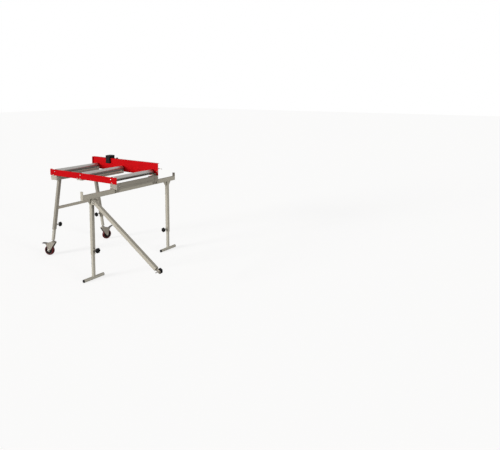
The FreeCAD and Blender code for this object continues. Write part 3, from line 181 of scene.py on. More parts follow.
class Shape:
    """Corners and faces of one piece, in millimetres, each face with the number of its finish."""

    def __init__(self):
        self.corners = []
        self.faces = []
        self.finishes = []

    def skin(self, rings, place, finish=0, loop=False):
        """Join rings of equal length; the ends are capped, or the last ring joins the first."""
        start, size = len(self.corners), len(rings[0])
        for points in rings:
            self.corners += [place @ Vector(point) for point in points]
        faces = []
        for number in range(len(rings) if loop else len(rings) - 1):
            low = start + number * size
            high = start + (number + 1) % len(rings) * size
            for step in range(size):
                after = (step + 1) % size
                faces.append((low + step, low + after, high + after, high + step))
        if not loop:
            faces.append(tuple(start + step for step in reversed(range(size))))
            faces.append(tuple(start + (len(rings) - 1) * size + step for step in range(size)))
        self.faces += faces
        self.finishes += [finish] * len(faces)

    def lathe(self, profile, place, finish=0, steps=48, loop=False):
        """Turn a profile of (radius, place along Z) about a seat's Z."""
        self.skin([ring(max(r, 0.02), along, steps) for r, along in profile], place, finish, loop)

    def bar(self, outline, place, low, high, bore=None):
        """An outline drawn out between two places along Z, or two planes, with or without a bore."""
        def end(points, reach):
            return [(x, y, reach(x, y) if callable(reach) else reach) for x, y in points]
        rings = [end(outline, low), end(outline, high)]
        if bore:
            rings += [end(bore, high), end(bore, low)]
        self.skin(rings, place, loop=bool(bore))

    def thread(self, radius, low, high, place, pitch, finish=0):
        """A screw thread, faded at its two ends."""
        depth, steps, rows_in_turn = 0.55 * pitch, 28, 8
        rows = max(4, round((high - low) / pitch * rows_in_turn))
        rings = []
        for row in range(rows + 1):
            along = low + (high - low) * row / rows
            fade = min(1.0, (along - low) / pitch, (high - along) / pitch)

            def radius_at(angle):
                phase = (along / pitch - angle / (2 * math.pi)) % 1
                return radius - depth * abs(2 * phase - 1) * fade - depth * 0.5 * (1 - fade)
            rings.append(ring(radius_at, along, steps))
        self.skin(rings, place, finish)

    def hexagon_head(self, flats, low, high, place, finish=0, both=False):
        """A hexagon with a chamfered outer face at low, and at high too if both are free."""
        six = hexagon(flats)
        rises = (0.0, 0.12, 0.25, 0.4, 0.55)

        def chamfered(rise, along):
            limit = flats / 2 * 0.93 + rise * 1.9
            return ring(lambda angle: min(six(angle), limit), along)
        rings = [chamfered(rise, low + rise) for rise in rises]
        if both:
            rings += [chamfered(rise, high - rise) for rise in reversed(rises)]
        else:
            washer = flats / 2 * 0.96
            rings += [ring(six, high - 0.45), ring(washer, high - 0.4), ring(washer, high)]
        self.skin(rings, place, finish)

    def bead(self, path, closed=False):
        """A rippled weld bead along a path of points in the frame, thinner at its open ends."""
        radius = details().weld_bead / MM
        spacing, ripple_length = 0.7, 2.4
        points = evenly([Vector(point) for point in path], spacing, closed)
        rings = []
        for number, point in enumerate(points):
            before = points[number - 1] if closed or number else point
            after = points[(number + 1) % len(points)] if closed or number < len(points) - 1 else point
            tangent = (after - before).normalized()
            ripple = 1 + 0.16 * ((number * spacing / ripple_length) % 1) + 0.06 * math.sin(number * 0.37)
            fade = 1.0 if closed else min(1.0, 0.25 + min(number, len(points) - 1 - number) * 0.4)
            turn = seat(point, tangent, UP if abs(tangent.z) < 0.9 else Vector((1, 0, 0)))
            rings.append([turn @ Vector(corner) for corner in ring(radius * ripple * fade, 0, 8)])
        self.skin(rings, Matrix(), loop=closed)


def evenly(path, spacing, closed):
    """Points at even distances along a path."""
    if closed:
        path = path + path[:1]
    lengths = [0.0]
    for start, end in zip(path, path[1:]):
        lengths.append(lengths[-1] + (end - start).length)
    count = max(2, round(lengths[-1] / spacing))
    points, leg = [], 0
    for number in range(count if closed else count + 1):
        reach = lengths[-1] * number / count
        while leg < len(path) - 2 and lengths[leg + 1] < reach:
            leg += 1
        part = (reach - lengths[leg]) / max(lengths[leg + 1] - lengths[leg], 1e-9)
        points.append(path[leg].lerp(path[leg + 1], min(part, 1.0)))
    return points


def piece(name, shape, body, finishes, replaced=(), bevel=0.0):
    """Make a shape an object that rides on a body and stands for CAD nodes."""
    mesh = bpy.data.meshes.new(name)
    mesh.from_pydata([corner * MM for corner in shape.corners], [], shape.faces)
    mesh.polygons.foreach_set("material_index", shape.finishes)
    work = bmesh.new()
    work.from_mesh(mesh)
    bmesh.ops.remove_doubles(work, verts=work.verts, dist=2e-6)
    bmesh.ops.recalc_face_normals(work, faces=work.faces)
    work.to_mesh(mesh)
    work.free()
    mesh.shade_smooth()
    mesh.set_sharp_from_angle(angle=math.radians(32))
    thing = bpy.data.objects.new(name, mesh)
    bpy.context.scene.collection.objects.link(thing)
    for finish in finishes:
        mesh.materials.append(material(finish))
    if bevel:
        soften(thing, bevel)
    if replaced:
        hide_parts(*replaced)
    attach(thing, body)


def dress(node, word, shape, *more, finish=None, bevel=0.0):
    """Put a shape in a CAD node's place and on its body, in the node's finish, or another, and more."""
    piece(f"{node}_{word}", shape, BODIES[node], [finish or SLOTS[node], *more], [node], bevel)


def soften(thing, width, weld=False):
    """Round the sharp edges by a width in millimetres."""
    if weld:
        thing.modifiers.new("Weld", "WELD").merge_threshold = 0.00001
    edges = thing.modifiers.new("Rounded edges", "BEVEL")
    edges.width = width * MM
    edges.segments = 2
    edges.limit_method = "ANGLE"
    edges.angle_limit = math.radians(35)
    normals = thing.modifiers.new("Even shading", "WEIGHTED_NORMAL")
    normals.weight = 80


def keep(node, width, finish=None):
    """Show a CAD node as it is, with rounded edges and its full finish, or another one."""
    thing = frame["nodes"][node]
    thing.data.materials.clear()
    thing.data.materials.append(material(finish or SLOTS[node]))
    soften(thing, width, weld=True)


# ---------------------------------------------------------------- finishes

def add_node(tree, kind, inputs=None, **settings):
    """A new shader node; each input, by name or number, gets a value or a link from a socket."""
    node = tree.nodes.new(kind)
    for name, value in settings.items():
        setattr(node, name, value)
    for key, value in (inputs or {}).items():
        if isinstance(value, bpy.types.NodeSocket):
            tree.links.new(value, node.inputs[key])
        else:
            node.inputs[key].default_value = value
    return node


class Recipe:
    """A material in the making: a Principled shader, and the nodes that vary it over the piece."""

    def __init__(self, name, roughness, metallic=0.0):
        self.material = bpy.data.materials.new(name)
        self.material.use_nodes = True
        self.tree = self.material.node_tree
        self.shader = self.tree.nodes["Principled BSDF"]
        self.set(Roughness=roughness, Metallic=metallic)
        self.place = self.add("ShaderNodeTexCoord").outputs["Object"]

    def add(self, kind, inputs=None, **settings):
        return add_node(self.tree, kind, inputs, **settings)

    def stretched(self, x, y, z):
        """The piece's own coordinates, stretched along each axis."""
        return self.add("ShaderNodeMapping", {"Scale": (x, y, z), "Vector": self.place}).outputs["Vector"]

    def noise(self, scale, detail, roughness=0.55, place=None):
        """Cloudy noise from 0 to 1; the scale counts its clouds in a metre."""
        inputs = {"Scale": scale, "Detail": detail, "Roughness": roughness, "Vector": place or self.place}
        return self.add("ShaderNodeTexNoise", inputs).outputs["Fac"]

    def ranged(self, source, low, high, to_low, to_high):
        """A value between low and high, brought between two others."""
        inputs = {"Value": source, "From Min": low, "From Max": high, "To Min": to_low, "To Max": to_high}
        return self.add("ShaderNodeMapRange", inputs).outputs["Result"]

    def times(self, first, second):
        return self.add("ShaderNodeMath", {0: first, 1: second}, operation="MULTIPLY").outputs["Value"]

    def mixed(self, factor, first, second):
        """A colour between two, each given as a colour or as a socket."""
        node = self.add("ShaderNodeMix", {"Factor": factor}, data_type="RGBA")
        colours = [socket for socket in node.inputs if socket.type == "RGBA"]
        for socket, colour in zip(colours, (first, second)):
            if isinstance(colour, bpy.types.NodeSocket):
                self.tree.links.new(colour, socket)
            else:
                socket.default_value = (*colour, 1.0)
        return next(socket for socket in node.outputs if socket.type == "RGBA")

    def edges(self, low=0.52, high=0.6):
        """Where the surface turns sharply outward."""
        return self.ranged(self.add("ShaderNodeNewGeometry").outputs["Pointiness"], low, high, 0.0, 1.0)

    def colour(self, source):
        self.tree.links.new(source, self.shader.inputs["Base Color"])

    def roughness(self, source):
        self.tree.links.new(source, self.shader.inputs["Roughness"])

    def bump(self, *layers):
        """Layers of (height, distance in metres, strength), each on top of the one before."""
        below = {}
        for height, distance, strength in layers:
            inputs = {"Height": height, "Distance": distance, "Strength": strength, **below}
            below = {"Normal": self.add("ShaderNodeBump", inputs).outputs["Normal"]}
        self.tree.links.new(below["Normal"], self.shader.inputs["Normal"])

    def set(self, **values):
        """Plain values for the shader's inputs, named with underscores for spaces."""
        for name, value in values.items():
            self.shader.inputs[name.replace("_", " ")].default_value = value


def shade(colour, factor):
    """A colour made lighter or darker by a factor."""
    return tuple(min(1.0, value * factor) for value in colour)


def enamel(name, red):
    """Gloss enamel over folded steel: faint orange peel, dust, and thin places on sharp edges."""
    recipe = Recipe(name, 0.42)
    recipe.set(Specular_IOR_Level=0.03)
    bare_edge = (0.33, 0.2, 0.18)
    cloud = recipe.ranged(recipe.noise(9, 4), 0.35, 0.65, 0, 1)
    coat = recipe.mixed(cloud, shade(red, 0.93), shade(red, 1.04))
    grit = recipe.ranged(recipe.noise(900, 2), 0.74, 0.8, 0, 0.25)
    coat = recipe.mixed(grit, coat, shade(red, 0.7))
    worn = recipe.times(recipe.edges(0.56, 0.68), recipe.ranged(recipe.noise(140, 4), 0.6, 0.68, 0, 0.7))
    recipe.colour(recipe.mixed(worn, coat, bare_edge))
    recipe.roughness(recipe.ranged(recipe.noise(35, 5), 0.3, 0.7, 0.36, 0.5))
    recipe.bump((recipe.noise(420, 2), 0.0004, 0.12), (recipe.noise(60, 2), 0.001, 0.06))
    return recipe.material


def powder(name, base):
    """Satin powder coat: fine grain, slow cloudiness, rubbed edges."""
    recipe = Recipe(name, 0.64)
    recipe.set(Specular_IOR_Level=0.18)
    cloud = recipe.ranged(recipe.noise(7, 5, 0.6), 0.3, 0.7, 0, 1)
    coat = recipe.mixed(cloud, shade(base, 0.95), shade(base, 1.03))
    grain = recipe.noise(1400, 2)
    coat = recipe.mixed(recipe.ranged(grain, 0.3, 0.7, 0, 0.15), coat, shade(base, 0.85))
    rubbed = recipe.times(recipe.edges(), recipe.ranged(recipe.noise(90, 4), 0.45, 0.65, 0, 0.5))
    recipe.colour(recipe.mixed(rubbed, coat, shade(base, 1.1)))
    recipe.roughness(recipe.ranged(recipe.noise(45, 4), 0.3, 0.7, 0.56, 0.72))
    recipe.bump((grain, 0.0002, 0.15), (recipe.noise(180, 2), 0.0004, 0.05))
    return recipe.material


def zinc_plate(name, base):
    """Dull zinc plate: pale patches like frost, and fine rolling lines."""
    recipe = Recipe(name, 0.5, 0.35)
    patches = recipe.add("ShaderNodeTexVoronoi", {"Scale": 160, "Vector": recipe.place})
    tone = recipe.add("ShaderNodeSeparateColor", {"Color": patches.outputs["Color"]})
    colour = recipe.mixed(tone.outputs["Red"], shade(base, 0.86), shade(base, 1.08))
    tint = recipe.ranged(recipe.noise(22, 3), 0.35, 0.7, 0, 0.35)
    recipe.colour(recipe.mixed(tint, colour, (base[0] * 1.02, base[1] * 0.96, base[2] * 0.84)))
    recipe.roughness(recipe.ranged(tone.outputs["Green"], 0, 1, 0.44, 0.6))
    lines = recipe.noise(1, 2, 0.5, recipe.stretched(60, 900, 900))
    recipe.bump((recipe.noise(700, 3), 0.0002, 0.2), (lines, 0.0002, 0.12))
    return recipe.material


def machine_steel(name, base):
    """Small plated fasteners: random darker clouds, and a painted highlight on the sharp edges."""
    recipe = Recipe(name, 0.3, 1.0)
    cloud = recipe.ranged(recipe.noise(160, 4), 0.3, 0.7, 0, 1)
    colour = recipe.mixed(cloud, shade(base, 0.78), base)
    # Painted highlight: the colour is lighter on sharp outward edges.
    recipe.colour(recipe.mixed(recipe.edges(0.5, 0.58), colour, shade(base, 1.25)))
    recipe.roughness(recipe.ranged(recipe.noise(500, 3), 0.3, 0.7, 0.22, 0.42))
    recipe.bump((recipe.noise(1500, 2), 0.0001, 0.3))
    return recipe.material


def drawn_steel(name, base):
    """Roller tube: drawn lines along its length, and scuffed bands round it where work has run."""
    recipe = Recipe(name, 0.3, 1.0)
    lines = recipe.noise(1, 3, 0.6, recipe.stretched(700, 6, 700))
    bands = recipe.ranged(recipe.noise(1, 5, 0.65, recipe.stretched(3, 75, 3)), 0.3, 0.7, 0, 1)
    colour = recipe.mixed(bands, shade(base, 0.96), shade(base, 1.03))
    recipe.colour(recipe.mixed(recipe.ranged(lines, 0.4, 0.62, 0, 0.3), colour, shade(base, 0.8)))
    recipe.roughness(recipe.ranged(lines, 0.3, 0.7, 0.3, 0.38))
    recipe.bump((lines, 0.0003, 0.25), (recipe.noise(300, 2), 0.0002, 0.08))
    return recipe.material


def moulded(name, base, low, high, grain=1100):
    """Moulded plastic with a fine grain and a trace of dust."""
    recipe = Recipe(name, (low + high) / 2)
    recipe.set(Specular_IOR_Level=0.1)
    dust = recipe.ranged(recipe.noise(60, 5, 0.6), 0.5, 0.75, 0, 0.5)
    recipe.colour(recipe.mixed(dust, base, tuple(min(1.0, value * 1.3 + 0.005) for value in base)))
    recipe.roughness(recipe.ranged(recipe.noise(90, 3), 0.3, 0.7, low, high))
    recipe.bump((recipe.noise(grain, 2), 0.0003, 0.3))
    return recipe.material


def tread_red(name, base):
    """Cast polyurethane: deep and glossy on the sides, dull and dusty where it rolls."""
    recipe = Recipe(name, 0.34)
    recipe.set(Subsurface_Weight=0.08, Subsurface_Scale=0.004, Specular_IOR_Level=0.2)
    cloud = recipe.ranged(recipe.noise(35, 5, 0.6), 0.35, 0.7, 0, 1)
    colour = recipe.mixed(cloud, shade(base, 0.75), shade(base, 1.1))
    marks = recipe.ranged(recipe.noise(220, 4, 0.7), 0.58, 0.72, 0, 0.4)
    recipe.colour(recipe.mixed(marks, colour, shade(base, 0.5)))
    recipe.roughness(recipe.ranged(recipe.noise(50, 4), 0.3, 0.7, 0.28, 0.52))
    recipe.bump((recipe.noise(260, 4), 0.0005, 0.2))
    return recipe.material


FINISHES = {
    "red_paint": lambda name, c: enamel(name, c.enamel),
    "grey_paint": lambda name, c: powder(name, c.coat),
    # The darker coat is the grey coat darkened as painted shade.
    "dark_paint": lambda name, c: powder(name, c.painted_shade_coat),
    "pale_paint": lambda name, c: powder(name, c.pale_coat),
    "zinc": lambda name, c: zinc_plate(name, c.zinc),
    "bolt_steel": lambda name, c: machine_steel(name, c.fasteners),
    "roller_steel": lambda name, c: drawn_steel(name, c.rollers),
    "black_plastic": lambda name, c: moulded(name, c.plastic, 0.36, 0.55),
    "pedal_paint": lambda name, c: moulded(name, c.pedal, 0.4, 0.6, 600),
    "tread_rubber": lambda name, c: tread_red(name, c.tread),
    "nylon": lambda name, c: moulded(name, c.nylon, 0.4, 0.55, 500),
}


def material(finish):
    """The material of a finish, made at its first use."""
    name = finish + "_finish"
    if name not in bpy.data.materials:
        FINISHES[finish](name, bpy.context.scene.roller_table_colours)
    return bpy.data.materials[name]


# ---------------------------------------------------------------- settings

def colour_setting(name, default, description):
    return FloatVectorProperty(
        name=name, description=description, default=default, subtype="COLOR", min=0.0, max=1.0, size=3
    )


def length_setting(name, default, description):
    return FloatProperty(
        name=name, description=description, default=default * MM, min=0.0, unit="LENGTH", precision=5
    )


class RollerTableColours(PropertyGroup):
    """Colours of the finishes."""
    enamel: colour_setting("Enamel", (0.5, 0.0025, 0.005), "Side rail and fence")
    coat: colour_setting("Powder coat", (0.43, 0.405, 0.342), "Beams, guide rail, outer leg tubes, brace")
    # Grey coat darkened as painted shade, for the right beam and the outer tubes of the caster legs, which stand
    # in shade.
    painted_shade_coat: colour_setting("Darker coat", (0.3, 0.28, 0.237), "Right beam, outer tubes of the caster legs")
    pale_coat: colour_setting("Pale coat", (0.45, 0.43, 0.37), "Inner leg tubes and feet")
    zinc: colour_setting("Zinc", (0.297, 0.275, 0.235), "Carriage brackets and casters")
    fasteners: colour_setting("Fasteners", (0.42, 0.4, 0.37), "Bolts, nuts and pins")
    rollers: colour_setting("Rollers", (0.4, 0.39, 0.37), "Roller tubes")
    plastic: colour_setting("Black plastic", (0.006, 0.006, 0.0065), "Knobs, stop, caps and plugs")
    pedal: colour_setting("Pedals", (0.19, 0.18, 0.17), "Brake pedals")
    tread: colour_setting("Treads", (0.085, 0.005, 0.006), "Caster treads")
    nylon: colour_setting("Nylon", (0.8, 0.78, 0.72), "Glides of the carriage")


class RollerTableDetails(PropertyGroup):
    """Small sizes that the construction leaves open."""
    folded_edge: length_setting("Folded edge", 0.6, "Rounding of folded sheet")
    tube_corner: length_setting("Tube corner", 3.0, "Corner radius of the square tubes")
    tube_wall: length_setting("Tube wall", 2.5, "Wall of the outer tubes")
    weld_bead: length_setting("Weld bead", 1.7, "Radius of the weld beads")
    stud_pitch: length_setting("Stud pitch", 1.25, "Thread pitch of the knob studs")
    bolt_pitch: length_setting("Bolt pitch", 1.0, "Thread pitch of the bolts")
    wheel_ribs: IntProperty(
        name="Wheel ribs", description="Ribs on each side of a wheel core", default=8, min=3, max=16
    )
    knob_lobes: IntProperty(
        name="Knob lobes", description="Finger scallops of a clamp knob", default=6, min=3, max=12
    )


class RollerTableStudio(PropertyGroup):
    """Lamps, background and camera."""
    key: FloatProperty(name="Key lamp", description="Strength of the main lamp", default=3.1, min=0.0)
    fill: FloatProperty(name="Fill lamp", description="Strength of the second lamp", default=1.35, min=0.0)
    sky: FloatProperty(name="Sky", description="Strength of the light from all round", default=0.32, min=0.0)
    camera: FloatVectorProperty(
        name="Camera", description="Place of the camera", default=(3.5105, -3.2475, 1.6558),
        subtype="TRANSLATION", unit="LENGTH", size=3,
    )
    heading: FloatProperty(
        name="Heading", description="Camera's turn about the vertical", default=math.radians(33.02),
        subtype="ANGLE",
    )
    tilt: FloatProperty(
        name="Tilt", description="Camera's tilt below the horizon", default=math.radians(4.90),
        subtype="ANGLE",
    )
    lens: FloatProperty(name="Lens", description="Focal length in millimetres", default=35.63, min=1.0)


# ---------------------------------------------------------------- forms that pieces share, in millimetres

ENDS = ("front", "rear")
TUBE = 30           # side of the outer square tubes
SLIDER = 24         # side of the square tubes that slide in them
SLIDER_WALL = 2
SLIDER_CORNER = 2.6
SLIDER_BORE_CORNER = 1.2
FOOT_RADIUS = 14.0  # of the round foot tubes; the facets of their CAD meshes reach a little less
CUT_EDGE = 0.35     # rounding of the cut ends of tubes


def tube_outlines(width=TUBE, depth=TUBE):
    """Outer and inner outline of a square or rectangular tube."""
    wall = details().tube_wall / MM
    corner = details().tube_corner / MM
    inner = max(0.8, corner - wall * 0.8)
    return rounded(width, depth, corner), rounded(width - 2 * wall, depth - 2 * wall, inner)


def slider_outlines(side=SLIDER, steps=5):
    """Outer and inner outline of a thinner square tube."""
    hollow = side - 2 * SLIDER_WALL
    return rounded(side, side, SLIDER_CORNER, steps), rounded(hollow, hollow, SLIDER_BORE_CORNER, steps)


def clamped_tube(shape, place, low, high, knob_joint):
    """Outer square tube with a threaded boss, welded on, for the clamp knob."""
    outer, inner = tube_outlines()
    shape.bar(outer, place, low, high, bore=inner)
    out = seat(pivot(knob_joint), axis(knob_joint), UP)
    bore, rim, face = 4.05, 11.0, 25.0
    shape.lathe([
        (bore, 12.6), (bore, face - 0.7), (4.7, face), (10.2, face), (rim, face - 0.8), (rim, 14.6),
        (10.5, 12.6),
    ], out, loop=True)
    shape.bead([out @ Vector(point) for point in ring(rim + 0.2, TUBE / 2 + 0.4)], True)


def two_ended(end, length, between):
    """A profile with the same end twice, and the end's last radius at the places between."""
    straight = [(end[-1][0], along) for along in between]
    return end + straight + [(radius, length - along) for radius, along in reversed(end)]


def both_sides(side):
    """A profile from its half, given as (radius, distance from the middle plane)."""
    return [(radius, -along) for radius, along in side] + list(reversed(side))


def divided(outline, count=96):
    """The outline with more points along it, for ends that curve."""
    points = [Vector((x, y, 0)) for x, y in outline]
    perimeter = sum((b - a).length for a, b in zip(points, points[1:] + points[:1]))
    return [(point.x, point.y) for point in evenly(points, perimeter / count, True)]


# ---------------------------------------------------------------- deck

class PieceOperator:
    """What the operators of all pieces share."""
    bl_options = {"REGISTER", "UNDO"}

    def execute(self, context):
        self.build()
        return {"FINISHED"}


class ROLLERTABLE_OT_sheet_frame(PieceOperator, Operator):
    """Side rail, fence, cross beams, carriage brackets and glides"""
    bl_idname = "roller_table.sheet_frame"
    bl_label = "Sheet frame"

    def build(self):
        edge = details().folded_edge / MM
        for node in (
            "side_rail", "fence", "left_cross_beam", "middle_cross_member",
            "front_carriage_bracket", "rear_carriage_bracket",
        ):
            keep(node, edge)
        # The right beam takes the darker coat: its grey darkened as painted shade.
        keep("right_cross_beam", edge, "dark_paint")
        keep("carriage_glides", 0.5)


class ROLLERTABLE_OT_rollers(PieceOperator, Operator):
    """Three roller tubes with their bearing caps, and the fixed axles"""
    bl_idname = "roller_table.rollers"
    bl_label = "Rollers"

    def build(self):
        keep("roller_axles", 0.3)
        for name in ("left", "middle", "right"):
            self.shell(name)
            self.bearings(name)

    def shell(self, name):
        """The tube, with rolled edges."""
        low, high = box(f"{name}_roller_tube")
        centre = (low + high) / 2
        radius, length, wall = (high.z - low.z) / 2, high.y - low.y, 1.5
        bore = radius - wall
        end = [(bore, 0.5), (bore + 0.3, 0.1), (radius - 0.9, 0.0), (radius - 0.25, 0.25), (radius, 0.9)]
        between = [4.0, 12.0] + [length * n / 12 for n in range(1, 12)] + [length - 12.0, length - 4.0]
        place = seat((centre.x, low.y, centre.z), (0, 1, 0))
        tube = Shape()
        tube.lathe(two_ended(end, length, between), place, steps=96, loop=True)
        piece(f"{name}_roller_shell", tube, f"{name}_roller", ["roller_steel"], [f"{name}_roller_tube"])

    def bearings(self, name):
        """A cap, a bearing's shield and its inner ring at each end of the tube."""
        node = f"{name}_roller_caps"
        low, high = box(f"{name}_roller_tube")
        centre = (low + high) / 2
        low_cap, high_cap = box(node)
        rim = (high_cap.z - low_cap.z) / 2
        depth, shield, race, bore = 13, 13.6, 9.2, 6.1
        caps = Shape()
        for end, outward in ((low.y, -1), (high.y, 1)):
            turn = seat((centre.x, end, centre.z), (0, outward, 0))
            caps.lathe([
                (rim, -depth - 1), (rim, -1.2), (rim - 0.5, -0.4), (rim - 1.4, -0.2), (rim - 2.2, -0.9),
                (rim - 3.0, -3.2), (rim - 4.2, -3.6), (17.4, -3.2), (16.6, -1.2), (16.2, 0.6),
                (15.6, 1.1), (14.0, 1.1), (13.8, 0.7), (shield, -depth - 1),
            ], turn, 0, 72, loop=True)
            caps.lathe([
                (shield, -depth), (shield, 0.5), (shield - 0.4, 0.35), (race + 0.4, 0.35), (race, 0.5),
                (race, -depth),
            ], turn, 1, 72, loop=True)
            caps.lathe([
                (race, 0.2 - depth), (race, 3.3), (8.6, 4.0), (6.5, 4.0), (bore, 3.6), (bore, 0.2 - depth),
            ], turn, 2, 72, loop=True)
        finishes = ["black_plastic", "pedal_paint", "bolt_steel"]
        piece(f"{name}_roller_bearings", caps, f"{name}_roller", finishes, [node])


class ROLLERTABLE_OT_fasteners(PieceOperator, Operator):
    """Hexagon bolts and nuts of the deck, and the bolts in the axle ends"""
    bl_idname = "roller_table.fasteners"
    bl_label = "Fasteners"

    def build(self):
        for node, nuts in (("frame_bolts", True), ("axle_bolts", False)):
            shape = Shape()
            for corners in solids(node):
                self.bolt(shape, corners, nuts)
            dress(node, "threaded", shape)

    def bolt(self, shape, corners, nut):
        """A bolt along the longest side of a solid's box, with its head at the wider end."""
        low, high = span(corners)
        lengths = high - low
        along = max(range(3), key=lambda n: lengths[n])
        length = lengths[along]
        centre = (low + high) / 2
        direction = Vector([1.0 if n == along else 0.0 for n in range(3)])

        def width_near(end):
            near = [corner - centre for corner in corners if abs(corner[along] - end[along]) < 0.05]
            return max((offset - direction * offset[along]).length for offset in near)
        origin = centre.copy()
        origin[along] = low[along]
        if width_near(high) > width_near(low):
            direction = -direction
            origin[along] = high[along]
        place = seat(origin, direction, UP if along != 2 else Vector((1, 0, 0)))
        flats, head, shank, radius = 10, 4, 2.95, 3
        start, end = (length - 7, length - 0.3) if nut else (8, length)
        shape.hexagon_head(flats, 0, head, place)
        if nut:
            shape.hexagon_head(flats, length - 6, length - 1, place, both=True)
        shape.lathe([(shank, head - 0.5), (shank, start)], place)
        shape.thread(radius, start, end, place, details().bolt_pitch / MM)
        if nut:
            shape.lathe([(2.4, length - 0.4), (1.8, length)], place)


class ROLLERTABLE_OT_locating_pins(PieceOperator, Operator):
    """Pins that locate the deck against the saw, with tapered noses and screwed collars"""
    bl_idname = "roller_table.locating_pins"
    bl_label = "Locating pins"

    def build(self):
        shape = Shape()
        for corners, outward in zip(solids("locating_pins"), (-1, 1)):
            self.pin(shape, corners, outward)
        dress("locating_pins", "turned", shape)

    def pin(self, shape, corners, outward):
        """A pin whose collar is read from the solid and whose nose points outward."""
        low, high = span(corners)
        centre = (low + high) / 2
        tip = low.x if outward < 0 else high.x
        length = high.x - low.x
        place = seat((tip, centre.y, centre.z), (-outward, 0, 0))
        collar = [abs(corner.x - tip) for corner in corners if (corner - centre).yz.length > 7]
        near, far = min(collar), max(collar)
        sheet, slit = 2.5, 0.02
        if near < length - far:
            nose_end, root_start = near - slit, far
        else:
            nose_end = root_start = near - sheet - slit
        shape.lathe([(1.6, 0), (2.0, 0.25), (3.3, 3.2), (3.8, 4.6), (4.0, 5.6), (4.0, nose_end)], place)
        shape.lathe([(4.98, root_start), (4.98, length - 1.2), (4.2, length - 0.2), (3.6, length)], place)
        shape.hexagon_head(14, near, far, place, both=True)


# ---------------------------------------------------------------- clamp knobs and the stop

def add_knob(shape, place, tip, start, length, radius, stud, threaded_to=None):
    """A domed knob with finger scallops and a threaded stud; finish 0 is plastic, 1 is steel."""
    lobes = details().knob_lobes
    bite = 4.0 * radius / 23
    cutter = 8.0 * radius / 23
    centre = radius + cutter - bite

    def notch(angle):
        off = (angle + math.pi / lobes) % (2 * math.pi / lobes) - math.pi / lobes
        side = centre * math.sin(off)
        if abs(side) >= cutter:
            return 0.0
        return max(0.0, radius - (centre * math.cos(off) - math.sqrt(cutter * cutter - side * side)))

    def lobed(scale, strength):
        return lambda angle: radius * scale - notch(angle) * strength

    unit = length / 26
    hub = 0.5 * radius
    neck = [(hub * 0.8, 0.0), (hub * 0.9, 0.4), (hub, 4.5), (hub + 0.8, 5.6)]
    body = [(lobed(scale, strength), along) for scale, strength, along in (
        (0.8, 0.6, 5.9), (0.93, 0.95, 6.2), (0.985, 1.0, 7.2), (1.0, 1.0, 9.0), (1.0, 1.0, 18.0),
        (0.985, 1.0, 20.0), (0.95, 0.97, 21.8), (0.88, 0.85, 23.4), (0.76, 0.6, 24.8), (0.6, 0.25, 25.6),
    )]
    cap = [(radius * scale, along) for scale, along in (
        (0.45, 25.95), (0.36, 26.0), (0.34, 25.5), (0.32, 25.5), (0.3, 25.9), (0.1, 26.0),
    )]
    shape.skin([ring(r, start + along * unit, 96) for r, along in neck + body + cap], place)
    shape.lathe([(stud - 1.0, tip), (stud - 0.5, tip + 0.5)], place, 1)
    if threaded_to is None:
        threaded_to = start + 0.2
    shape.thread(stud, tip + 0.4, threaded_to, place, details().stud_pitch / MM, 1)


class ROLLERTABLE_OT_length_stop(PieceOperator, Operator):
    """Carrier, stop plate, hinge pin and clamp knob of the length stop"""
    bl_idname = "roller_table.length_stop"
    bl_label = "Length stop"

    def build(self):
        keep("stop_carrier", 0.9)
        keep("stop_flap", 1.2)
        low, high = box("stop_hinge_pin")
        centre, length = (low + high) / 2, high.x - low.x
        pin = Shape()
        pin.lathe(
            [(2.2, 0), (2.8, 0.4), (3.0, 0.9), (3.0, length - 0.5), (2.5, length)],
            seat((low.x, centre.y, centre.z), (1, 0, 0)),
        )
        dress("stop_hinge_pin", "turned", pin)
        knob = Shape()
        place = seat(pivot("stop_clamp_turn"), axis("stop_clamp_turn"), UP)
        add_knob(knob, place, tip=-25, start=0.3, length=14, radius=15, stud=3)
        dress("stop_knob", "moulded", knob, "bolt_steel")


class ROLLERTABLE_OT_clamp_knobs(PieceOperator, Operator):
    """The four knobs that clamp the telescoping legs"""
    bl_idname = "roller_table.clamp_knobs"
    bl_label = "Clamp knobs"

    def build(self):
        for joint, node in (
            ("front_caster_clamp_turn", "front_caster_leg_knob"),
            ("rear_caster_clamp_turn", "rear_caster_leg_knob"),
            ("front_leg_clamp_turn", "front_leg_knob"),
            ("rear_leg_clamp_turn", "rear_leg_knob"),
        ):
            knob = Shape()
            place = seat(pivot(joint), axis(joint), UP if abs(axis(joint).x) > 0.9 else Vector((1, 0, 0)))
            add_knob(knob, place, tip=12.3, start=48, length=26, radius=23, stud=4)
            dress(node, "moulded", knob, "bolt_steel")


# ---------------------------------------------------------------- caster legs and casters

